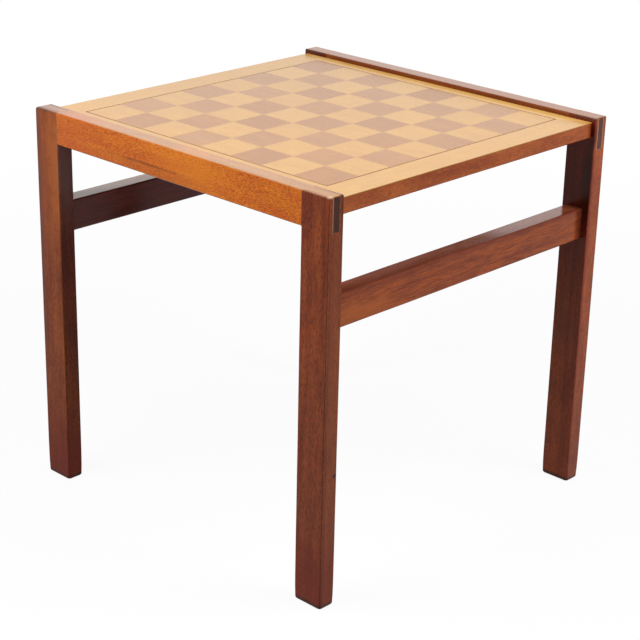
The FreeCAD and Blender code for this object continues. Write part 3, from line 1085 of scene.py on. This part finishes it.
# %% The right rail
right_rail_wood = mahogany(
    "rail_wood_right", "Y", rail_middle, 22, (seen(170, 78, 28), seen(214, 116, 50)),
    top=(seen(142, 78, 34), seen(160, 96, 48)), specks=(0.5, 0.2), glue=(0.7, 0.7, 0.4),
    end=seen(83, 44, 26), shade=Shade((-1, 0, 0), RAIL_INNER_SHADE, 0.0, 0.1, 1.0), roughness=0.18,
    ior=1.3)
make_rail("right", 42, right_rail_wood)

# %% [markdown]
# ## End stretchers
#
# A stretcher keeps the two side frames apart. It is thinner than a leg is wide, and a short stub
# at each end sits in the leg's blind mortise. Its ends are hidden, so the stubs could be left out.
# They are here because a joiner makes a joint whole, even where nobody looks, and a table that is
# taken apart on the screen shows them.

# %% A stretcher
def make_stretcher(end_name, seed, finish):
    """Outlines in Y and Z carried along X: stub, shoulder, body, shoulder, stub."""
    body = stations_between(-INNER_X, INNER_X)
    stub = np.array([INNER_X, INNER_X + STUB_LENGTH])
    x = np.concatenate([-stub[::-1], body, stub])
    in_body = (np.arange(len(x)) > 1) & (np.arange(len(x)) < len(x) - 2)
    radii = np.repeat(np.where(in_body, ARRIS * hand_eased(x, seed), 0)[:, None], 4, 1)
    outline, rubbed = rounded_outline(
        np.where(in_body, stretcher_low.y, STUB_SIDES[0]),
        np.where(in_body, stretcher_high.y, STUB_SIDES[1]),
        np.where(in_body, stretcher_low.z, stretcher_low.z + STUB_SHOULDER),
        np.where(in_body, stretcher_high.z, stretcher_high.z - STUB_SHOULDER), radii)
    y, z = ENDS[end_name] * outline[..., 0], outline[..., 1]
    points = np.stack([np.broadcast_to(x[:, None], y.shape), y, z], -1)
    return make_piece(f"{end_name}_end_stretcher", points, rubbed * in_body[:, None],
                      capped_skin(*y.shape), finish,
                      f"end_stretcher_{end_name}")


print(f"a stretcher is {(stretcher_high.y - stretcher_low.y) / MM:.0f} x",
      f"{(stretcher_high.z - stretcher_low.z) / MM:.0f} mm,",
      f"with {2 * INNER_X / MM:.0f} mm between its shoulders")

# %% [markdown]
# ## Wood for the stretchers
#
# The stretchers' grain is drawn out long, and their tops get greyer tones, partly from wear and
# partly painted sheen, paler still at the back. Both could share one material, but they differ in
# tone and in their marks. So a function mixes the wood, and each end passes what is its own.

# %% The stretchers' wood
def stretcher_wood(end_name, seed, top, specks, ior, marks=()):
    """Mahogany for a stretcher, with painted shade on the faces towards the middle of the table."""
    middle = 0, ENDS[end_name] * STUB_MIDDLE, (stretcher_low.z + stretcher_high.z) / 2
    shade = Shade((0, -ENDS[end_name], 0), seen(190, 133, 115), 0.0, 0.1, 1.0)
    return mahogany(f"stretcher_wood_{end_name}", "X", middle, seed,
                    (seen(132, 50, 12), seen(188, 90, 32)), top, specks, (0.8 * MM, 24 * MM),
                    shade=shade, marks=marks, roughness=0.16, ior=ior)


STRETCHER_FACE, STRETCHER_BACK = -stretcher_high.y, -stretcher_low.y
front_marks = [
    # a darker upper edge
    Mark((0, STRETCHER_FACE, stretcher_high.z), (0.6, 0.02, 13 * MM), seen(108, 36, 20), 0.5),
    # painted sheen: the left part of the top paler and greyer
    Mark((-0.13, STRETCHER_BACK, stretcher_high.z), (0.15, 0.03, 1.5 * MM), seen(152, 92, 76), 0.7),
    # a lighter patch at the lower left
    Mark((-0.20, STRETCHER_FACE, stretcher_low.z + 12 * MM), (0.10, 0.02, 20 * MM),
         seen(204, 108, 38), 0.45),
    # darker at the right shoulder, and less at the left one: partly grime, partly painted shade
    # beside the leg
    Mark((INNER_X, STRETCHER_FACE, stretcher_low.z + 20 * MM), (17 * MM, 0.03, 0.06),
         seen(96, 46, 38), 0.8),
    Mark((-INNER_X, STRETCHER_FACE, stretcher_low.z + 20 * MM), (4 * MM, 0.03, 0.05),
         seen(64, 20, 10), 0.5)]
# the tops' tones: partly wear and partly painted sheen, the back one paler
front_top_wear_and_sheen = seen(120, 60, 36), seen(148, 84, 56)
back_top_wear_and_sheen = seen(168, 126, 102), seen(192, 150, 124)
make_stretcher("front", 51, stretcher_wood("front", 51, front_top_wear_and_sheen, (0.45, 0.45), 1.28, front_marks))
make_stretcher("back", 52, stretcher_wood("back", 52, back_top_wear_and_sheen, (0.4, 0.15), 1.3))

# %% [markdown]
# ## Veneer
#
# The board's face is veneer, less than a millimetre thick, sanded flat and polished. It was sliced
# from the tree lengthways, so it has fibres and a soft figure, but hardly any rings. Mahogany's
# recipe could be bent to it. A shorter one of its own is easier to read: three noises, two of them
# drawn out along the grain.

# %% The grain of veneer
border_low, border_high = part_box("border_front")
LEAF_SWAY, LEAF_SWAY_DEPTH = (16, 16, 4), 0.01       # waves a metre, and metres
LEAF_FIBRE, LEAF_FIGURE, LEAF_CLOUD = (800, 800, 18), (110, 110, 5), (30, 30, 30)


def leaf_grain(finish, wood):
    """What shows in a leaf: fibre, cloud and tone, and the coordinates after the sway.

    The tone is 0.15 figure plus 0.55 fibre plus 0.3 cloud.
    """
    sway = finish.noise(finish.vector("MULTIPLY", wood, LEAF_SWAY), output=1)
    sway = finish.scaled(finish.vector("SUBTRACT", sway, MIDDLE_GREY), LEAF_SWAY_DEPTH)
    wood = finish.vector("ADD", wood, sway)
    fibre = finish.noise(finish.vector("MULTIPLY", wood, LEAF_FIBRE), 4.0, 0.6)
    figure = finish.noise(finish.vector("MULTIPLY", wood, LEAF_FIGURE), 3.0)
    cloud = finish.noise(finish.vector("MULTIPLY", wood, LEAF_CLOUD), 2.0)
    tone = finish.math("MULTIPLY_ADD", fibre, 0.55, finish.math("MULTIPLY", cloud, 0.3))
    return fibre, cloud, finish.math("MULTIPLY_ADD", figure, 0.15, tone), wood


print(f"the board's face is {border_high.z / MM:.1f} mm up,",
      f"{(TABLE_TOP - border_high.z) / MM:.1f} mm below the rails")

# %% [markdown]
# ## Sixty-four squares from two materials
#
# In a real board, each square was cut from its own place in a leaf, so figure and tone differ a
# little from one to the next. Sixty-four materials would do it. But the squares lie in rows, so
# rounding X and Y down gives each point the number of its square, and a white noise on that number
# is the square's own draw: one part shifts the grain, another the tone.

# %% The squares' own draw
SQUARES_A_SIDE = 8
field_low, field_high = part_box("light_squares")
SQUARE = (field_high.x - field_low.x) / SQUARES_A_SIDE
LEAF_SHIFT = (0.4, 0.4, 3.0)                # metres in the leaf, across, across and along


def square_draw(finish, seed):
    """Three random numbers for each square, from its column and row: floor(p / square + 4)."""
    x, y, _ = finish.split(finish.place)
    column, row = (finish.math("FLOOR", finish.math("MULTIPLY_ADD", part, 1 / SQUARE,
                                                    SQUARES_A_SIDE / 2)) for part in (x, y))
    return finish.add("TexWhiteNoise", {"Vector": finish.join(column, row, float(seed))}, 1)


def own_place(finish, wood, seed, tone_spread):
    """The coordinates moved by the square's draw, and how much lighter or darker the square is."""
    draw = square_draw(finish, seed)
    wood = finish.vector("ADD", wood, finish.vector("MULTIPLY", draw, LEAF_SHIFT))
    lift = finish.math("MULTIPLY_ADD", finish.split(draw)[2], tone_spread, -tone_spread / 2)
    return wood, lift


print(f"{SQUARES_A_SIDE ** 2} squares of {SQUARE / MM:.1f} mm")

# %% [markdown]
# ## Polished veneer
#
# The leaves are glued down, scraped, and polished by hand, so their gloss is high and not quite
# even. A perfectly flat mirror could be had for nothing, but it looks like plastic. A soft noise a
# hundredth of a millimetre deep, with the fibres on top of it, makes mirrored things waver a
# little. Pores are drawn only where they are asked for, since maple shows none.

# %% Veneer
LEAF_TONES = 0.2, 0.8                       # a leaf is dark below the first, light above the last
LEAF_PORES, LEAF_PORE_RIM, LEAF_PORE_LIGHT = (1100, 1100, 180), (0.08, 0.36), 0.35
POLISH_WAVES, POLISH_DEPTH, POLISH_FIBRE = (160, 160, 160), 0.012 * MM, 0.25
POLISH_DULL = 0.08                          # what clouds change in the roughness


def veneer(name, along, seed, dark, light, pores=0.0, tone_spread=0.0, roughness=0.27, ior=1.3):
    """Polished veneer. With a tone spread, every square of the board is cut from its own place."""
    finish = Finish(name, roughness, ior)
    leaf = np.random.default_rng(seed).uniform(*UP_THE_TRUNK)
    wood, lift = lay_grain(finish, along, (0, 0, border_high.z), (0, 0, leaf)), 0.0
    if tone_spread:
        wood, lift = own_place(finish, wood, seed, tone_spread)
    fibre, cloud, tone, wood = leaf_grain(finish, wood)
    share = finish.between(finish.math("ADD", tone, lift), *LEAF_TONES)
    colour = finish.mix(share, dark, light)
    if pores:
        cells = finish.vector("MULTIPLY", wood, LEAF_PORES)
        cells = finish.add("TexVoronoi", {"Vector": cells, "Scale": 1.0})
        pore = finish.math("SUBTRACT", 1.0, finish.between(cells, *LEAF_PORE_RIM))
        open_pores = finish.math("MULTIPLY", pore, pores)
        colour = finish.mix(open_pores, colour, faded(dark, LEAF_PORE_LIGHT))
    polish = finish.noise(finish.vector("MULTIPLY", finish.place, POLISH_WAVES), 1.0)
    finish.bump(finish.math("MULTIPLY_ADD", fibre, POLISH_FIBRE, polish), POLISH_DEPTH)
    dull = finish.math("MULTIPLY_ADD", cloud, POLISH_DULL, roughness - POLISH_DULL / 2)
    return finish.finished(colour, dull)


print(f"the polish wavers by {POLISH_DEPTH / MM:.3f} mm")

# %% [markdown]
# ## Maple, mahogany and stringing
#
# The packed solids of the board have the right shape already: flat leaves with crisp mitres. New
# pieces could replace them, but would gain nothing, so they only get a better finish. Grain runs
# along each border and each line, as a marquetry knife cuts it. The right border is painted paler,
# as painted light that makes up for the shade the rail's lip casts on it. Old stringing is dyed
# wood, and has lost most of its gloss.

# %% Finishes on the veneers
def give(finish, *nodes):
    """Puts a finish on the surfaces of these packed solids."""
    for node in nodes:
        surfaces = frame["nodes"][node].data.materials
        surfaces.clear()
        surfaces.append(finish)
    print(f"{finish.name} on {', '.join(nodes)}")


MAPLE = seen(188, 136, 64), seen(212, 162, 84)
BROWN = seen(158, 102, 48), seen(184, 130, 74)
# painted light: paler maple for the right border, making up for the shade that the rail's lip casts
# on it
MAPLE_PAINTED_LIGHT = seen(208, 157, 82), seen(230, 182, 106)
OLD_BLACK = seen(96, 50, 20), seen(132, 78, 38)
give(veneer("maple_squares", "Y", 61, *MAPLE, tone_spread=0.1), "light_squares")
give(veneer("mahogany_squares", "Y", 62, *BROWN, pores=0.2, tone_spread=0.16), "dark_squares")
give(veneer("maple_across", "X", 63, *MAPLE), "border_front", "border_back", "pale_line_front",
     "pale_line_back")
give(veneer("maple_lengthways", "Y", 64, *MAPLE), "border_left", "pale_line_left",
     "pale_line_right")
give(veneer("maple_right_painted_light", "Y", 67, *MAPLE_PAINTED_LIGHT), "border_right")
give(veneer("stringing_across", "X", 65, *OLD_BLACK, roughness=0.45, ior=1.15), "stringing_front",
     "stringing_back")
give(veneer("stringing_lengthways", "Y", 66, *OLD_BLACK, roughness=0.45, ior=1.15),
     "stringing_left", "stringing_right")

# %% [markdown]
# ## Lippings
#
# A lipping is a strip of solid mahogany that hides the edge of the board's core. The mahogany
# recipe serves as it is, with the grain along each strip and a seed for each. Where the front one
# meets the leg, a painted shadow darkens the corner.

# %% The lippings' wood
board_middle = 0, 0, border_high.z
LIPPING = seen(154, 68, 27), seen(199, 107, 52)
# painted shadow in the corner where the front lipping meets the leg
corner_shadow = Mark((border_high.x, border_low.y, border_high.z - 10 * MM), (9 * MM, 10 * MM, 0.03),
                  seen(110, 30, 20), 0.6)
for name, along, seed, marks in (("front", "X", 71, [corner_shadow]), ("back", "X", 72, []),
                                 ("left", "Y", 73, []), ("right", "Y", 74, [])):
    give(mahogany(f"lipping_wood_{name}", along, board_middle, seed, LIPPING, marks=marks),
         f"lipping_{name}")

# %% [markdown]
# ## What shows from below
#
# A veneered board needs a second leaf on its back, or it cups. Under it, plain beech ledges carry
# the board. They could be left grey, since few look there. But whoever lifts the board sees them,
# so they get wood as well, planed and hardly varnished: rougher, and with few pores.

# %% Backing, core and ledges
give(mahogany("backing_wood", "X", board_middle, 75, (seen(112, 42, 18), seen(158, 78, 38)),
              roughness=0.45), "backing_veneer")
give(mahogany("core_wood", "Y", board_middle, 76, (seen(190, 150, 100), seen(220, 184, 132)),
              pores=0.1, roughness=0.6), "board_core")
give(mahogany("ledge_beech", "Y", (0, 0, RAIL_BOTTOM), 77,
              (seen(186, 132, 88), seen(214, 164, 116)), pores=0.2, roughness=0.5),
     "ledge_left", "ledge_right")

# %% [markdown]
# ## Brass
#
# Countersunk brass screws hold the ledges. Brass is a metal, so it has no colour under a varnish:
# its reflection is what is coloured. A plain gold would look new. Fine noise dulls it in spots, in
# colour, gloss and a trace of bump, as air does to brass over the years.

# %% Brass for the screws
BRASS_SPOTS, SPOT_DEPTH = (900, 900, 900), 0.01 * MM         # waves a metre
SPOT_TONES = 0.35, 0.7                      # brass is dull below the first, bright above the last
DULL_BRASS, BRIGHT_BRASS = seen(196, 150, 76), seen(232, 194, 118)


def brass(name):
    """Old brass. One noise mixes two tones, and adds 0.3 of itself to a roughness of 0.15."""
    finish = Finish(name, 0.3, 1.5)
    finish.shader.inputs["Metallic"].default_value = 1.0
    spots = finish.noise(finish.vector("MULTIPLY", finish.place, BRASS_SPOTS), 3.0)
    colour = finish.mix(finish.between(spots, *SPOT_TONES), DULL_BRASS, BRIGHT_BRASS)
    finish.bump(spots, SPOT_DEPTH)
    return finish.finished(colour, finish.math("MULTIPLY_ADD", spots, 0.3, 0.15))


screw_brass = brass("turned_brass")

# %% [markdown]
# ## A screw is turned
#
# A screw is made in a lathe, so it is circles carried along its axis: a blunt point, a shank, a
# cone for the countersink and a flat head. Blender's Screw modifier could spin a profile, but the
# slot would have to be cut afterwards. So each circle is made as two arcs, and the gap between
# them is as wide as the slot. Inside the wood nobody sees the thread, and it is left out.

# %% Circles of a screw
SLOT_HALF, SLOT_DEPTH = 0.5 * MM, 0.9 * MM
POINT_LENGTH, BLUNT_LENGTH = 4 * MM, 0.4 * MM        # the point's, and that of its blunt end
BLUNT_RADII = 0.3, 0.45                     # of the blunt end, in radii of the shank
RIM, RIM_EASED = 0.15 * MM, 0.05 * MM       # the head's rim, and how far its edge is eased
HALF_STEPS = 24                             # faces round half a circle


def screw_circles(head, length):
    """Circles along X as points [row, point, (x, y, z)]: radius times (cos, sin) of the angle.

    There are two at the point, one at each end of the shank, one at the slot's floor, and two at
    the head's rim. An arc starts at the angle whose sine is the slot's half width over the
    radius, or 0.8 where the circle is too small for that.
    """
    shank = head / 2
    depth = np.array([length, length - BLUNT_LENGTH, length - POINT_LENGTH, head - shank,
                      SLOT_DEPTH, RIM, 0])
    radius = np.array([BLUNT_RADII[0] * shank, BLUNT_RADII[1] * shank, shank, shank,
                       head - SLOT_DEPTH, head - RIM, head - RIM_EASED])
    start = np.arcsin(np.minimum(SLOT_HALF / radius, 0.8))[:, None]
    half = start + (math.pi - 2 * start) * np.linspace(0, 1, HALF_STEPS + 1)
    angle = np.concatenate([half, half + math.pi], 1)
    return np.stack([np.broadcast_to(depth[:, None], angle.shape),
                     radius[:, None] * np.cos(angle), radius[:, None] * np.sin(angle)], -1)


circles = screw_circles(4 * MM, 16 * MM)
print("a small screw:", circles.shape[0], "circles of", circles.shape[1], "points")

# %% [markdown]
# ## The slot
#
# A screw's slot is sawn straight across its head. A Boolean modifier could saw it here too, as it
# could have cut the legs. But the slot is a fork in a round bar, so the leg's steps serve again:
# two strips are left out of the skin, and two walls and a floor are put in.

# %% Faces of a screw
SLOT_ROW = 4                                # the circle at the slot's floor


def screw_faces(rows, count):
    """The skin without the slot's two strips, the slot's walls and floor, and the caps."""
    near, far = count // 2 - 1, count - 1
    faces = skin(rows, count, [(SLOT_ROW, rows, near), (SLOT_ROW, rows, far)])
    fork = np.arange(SLOT_ROW, rows) * count
    faces += ladder(fork + near, fork) + ladder(fork + near + 1, fork + far)
    faces.append([fork[0] + near, fork[0] + near + 1, fork[0] + far, fork[0]])
    last = (rows - 1) * count
    return faces + [[last + column for column in range(near + 1)],
                    [last + column for column in range(near + 1, count)], list(range(count))]


print("a small screw:", len(screw_faces(*circles.shape[:2])), "faces")

# %% [markdown]
# ## Three screws in each ledge
#
# The screws sit at even steps along a ledge. Copies of one object could be placed there, but the
# packed solid counts three screws as one node, and the piece that stands for it has to be one
# object too. So the circles are worked out once and added to three centres in one array.

# %% The screws
SCREWS_A_SIDE = 3


def make_screws(side_name, finish):
    """A row of screws along Y, each one the same circles plus its own centre."""
    low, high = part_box(f"ledge_screws_{side_name}")
    head = (high.z - low.z) / 2
    circles = screw_circles(head, high.x - low.x)
    rows, count = circles.shape[:2]
    head_x = min(abs(low.x), abs(high.x))
    y = np.linspace(low.y + head, high.y - head, SCREWS_A_SIDE)
    centres = np.stack([np.full_like(y, head_x), y, np.full_like(y, (low.z + high.z) / 2)], -1)
    points = (circles.reshape(-1, 3) + centres[:, None]) * (SIDES[side_name], 1, 1)
    one = screw_faces(rows, count)
    faces = [[corner + number * rows * count for corner in face]
             for number in range(SCREWS_A_SIDE) for face in one]
    return make_piece(f"{side_name}_ledge_screws", points, np.zeros(points.shape[:2]), faces,
                      finish, f"ledge_screws_{side_name}")


make_screws("left", screw_brass)
make_screws("right", screw_brass)

# %% [markdown]
# ## Which rays see the white
#
# In a white studio, the walls look bright, and their light also washes out the wood. Lamps could
# be made strong enough to turn the walls white, and the wood darkened to make up for it. Blender's
# Light Path node is simpler. It tells which way a ray came, so that rays from the camera, and
# those by way of gloss or glass, can meet pure white, and all others something dim.

# %% Rays
WHITE = (1, 1, 1, 1)


def seen_directly(net):
    """1 for rays from the camera, or by way of gloss or glass, and 0 for all others.

    It is the largest of three answers, each 0 or 1.
    """
    path = net.tree.nodes.new("ShaderNodeLightPath").outputs
    total = net.math("MAXIMUM", path["Is Camera Ray"], path["Is Glossy Ray"])
    return net.math("MAXIMUM", total, path["Is Transmission Ray"])


def dim_or_white(net, dim, white, share):
    """The dim surface for most rays. Where seen directly, this share of it is the white one."""
    white_share = net.math("MULTIPLY", seen_directly(net), share)
    return net.add("MixShader", {0: white_share, 1: dim, 2: white})


print("white is seen by way of: camera, gloss, glass")

# %% [markdown]
# ## A white room
#
# The table stands in a plain white room. An image of a studio could be wrapped round it, but the
# room has nothing to show. So the world is two plain backgrounds: a dim one that fills the shadows
# a little, and a white one where it is seen. The varnish mirrors the white one, as it should.

# %% Background
FILL = 0.20                                 # light from all round, for the wood

world = bpy.data.worlds.new("white_room")
bpy.context.scene.world = world
world.use_nodes = True
room = Sums(world.node_tree)
fill = world.node_tree.nodes["Background"]
room.feed(fill.inputs["Color"], WHITE)
room.feed(fill.inputs["Strength"], FILL)
white = room.add("Background", {"Color": WHITE, "Strength": 1.0})
room.feed(world.node_tree.nodes["World Output"].inputs[0],
          dim_or_white(room, fill.outputs[0], white, 1.0))
print(f"{world.name}: a fill of {FILL:.2f}, and white where it is seen")

# %% [markdown]
# ## The floor
#
# A table needs a floor to stand on, or it seems to float. A floor that is pure white light would
# show no shadow. Real paint alone turns grey away from the lamps. So the floor's look is mixed:
# mostly white, with a little real paint that takes the shadow near the table. Further off the
# paint fades out, so that no horizon shows.

# %% The floor's paint
FLOOR_PAINT = 0.30                          # how much light the floor throws back at the table
FLOOR_SEEN = 0.95                           # how pale its paint looks
FLOOR_WHITE = 0.94                          # how much of its look is plain white, near the table
SHADOW_REACH = 0.6, 2.0                     # metres from the middle, where the rest fades to white

paint = bpy.data.materials.new("floor_paint")
paint.use_nodes = True
coat = Sums(paint.node_tree)
coat.tree.nodes.remove(coat.tree.nodes["Principled BSDF"])
tone = coat.math("MULTIPLY_ADD", seen_directly(coat), FLOOR_SEEN - FLOOR_PAINT, FLOOR_PAINT)
matt = coat.add("BsdfDiffuse", {"Color": tone})
glow = coat.add("Emission", {"Color": WHITE, "Strength": 1.0})
away = coat.vector("LENGTH", coat.add("TexCoord", {}, "Object"))
paler = coat.between(away, *SHADOW_REACH, FLOOR_WHITE, 1.0)
coat.feed(coat.tree.nodes["Material Output"].inputs[0], dim_or_white(coat, matt, glow, paler))
print(f"{paint.name}: {len(coat.tree.nodes)} nodes")

# %% [markdown]
# ## The floor's surface
#
# The real table stands on whatever floor there is. A plane could be added from Blender's menu. One
# face in an array does the same, and its size is there to read: wide enough that no view reaches
# its edge.

# %% The floor
FLOOR_HALF = 12.0                           # metres
floor_mesh = bpy.data.meshes.new("floor")
corners = FLOOR_HALF * np.array([(-1, -1, 0), (1, -1, 0), (1, 1, 0), (-1, 1, 0)])
floor_mesh.from_pydata(corners, [], [(0, 1, 2, 3)])
floor_mesh.materials.append(paint)
floor = bpy.data.objects.new("floor", floor_mesh)
bpy.context.scene.collection.objects.link(floor)
print(f"floor: {2 * FLOOR_HALF:.0f} m wide")

# %% [markdown]
# ## Lamps
#
# Furniture is lit with large soft boxes, which give broad, gentle highlights on varnish. Point
# lamps would give hard dots and black shadows. Three area lamps do here: one for the left faces,
# one for the front faces, and a wide low one behind, whose light glances off the board and the
# stretchers' tops. They light the table and show in its varnish, but the camera doesn't see them.

# %% Three soft lamps
def softbox(name, place, aim, width, height, watts):
    """A soft lamp at a place, turned so that its face looks at a point."""
    lamp = bpy.data.lights.new(name, "AREA")
    lamp.shape, lamp.size, lamp.size_y, lamp.energy = "RECTANGLE", width, height, watts
    holder = bpy.data.objects.new(name, lamp)
    bpy.context.scene.collection.objects.link(holder)
    reach = Vector(aim) - Vector(place)
    holder.location = place
    holder.rotation_euler = reach.to_track_quat("-Z", "Y").to_euler()
    holder.visible_camera = False
    print(f"{name}: {watts} W, {width} x {height} m, {reach.length:.2f} m away")


softbox("left_lamp", (-1.1, 0.3, 1.5), (-0.2, 0, 0.4), 0.8, 0.8, 17.6)
softbox("front_lamp", (0.4, -1.2, 1.7), (0.1, -0.2, 0.4), 0.8, 0.8, 21.5)
softbox("back_lamp", (2.16, 2.07, 1.3), (0, 0, 0.53), 3.0, 2.4, 13)

# %% [markdown]
# ## Where the camera stands
#
# The table is best seen from a corner, a little above the board, so that the inlay, both kinds of
# joint and three legs all show. The camera could be turned by three angles, but their order is
# easy to get wrong. It is built from three directions instead: back to the camera, right, and up.
# A roll of a degree tilts it a little, as a camera held in the hand is tilted.

# %% The camera's directions
AZIMUTH, ELEVATION, ROLL = (math.radians(angle) for angle in (-46.426, 21.900, 1.282))
DISTANCE = 4.580 * TABLE_TOP
AIM = Vector((-2.2 * MM, -2.1 * MM, 0.4285 * TABLE_TOP))

level = Vector((math.cos(AZIMUTH), math.sin(AZIMUTH), 0))
back = Vector((math.sin(AZIMUTH) * math.cos(ELEVATION), -math.cos(AZIMUTH) * math.cos(ELEVATION),
               math.sin(ELEVATION)))
upright = back.cross(level)
right = level * math.cos(ROLL) + upright * math.sin(ROLL)
up = upright * math.cos(ROLL) - level * math.sin(ROLL)
print(f"the camera stands {DISTANCE:.2f} m away, {(AIM + back * DISTANCE).z:.2f} m up")

# %% [markdown]
# ## The lens
#
# A long lens from far away keeps the legs nearly upright, and a short one from near by would
# splay them. The lens looks past the middle of the image by a few pixels, which moves the table in
# the image without turning it. Colours go out as they are, so the view is the Standard one.

# %% The camera
IMAGE_WIDTH = 640                           # pixels
FOCAL_PIXELS = 1767.36                      # the lens's focal length, in pixels of the image
SHIFT_RIGHT, SHIFT_UP = 2.88, 6.21          # pixels

camera_data = bpy.data.cameras.new("camera")
camera_data.lens = FOCAL_PIXELS / IMAGE_WIDTH * camera_data.sensor_width
camera_data.shift_x, camera_data.shift_y = SHIFT_RIGHT / IMAGE_WIDTH, SHIFT_UP / IMAGE_WIDTH
camera = bpy.data.objects.new("camera", camera_data)
bpy.context.scene.collection.objects.link(camera)
camera.matrix_world = (Matrix.Translation(AIM + back * DISTANCE)
                       @ Matrix((right, up, back)).transposed().to_4x4())
bpy.context.scene.camera = camera
bpy.context.scene.view_settings.view_transform = "Standard"
print(f"lens {camera_data.lens:.1f} mm")

# %% [markdown] A dressed table has to keep the size of its frame.
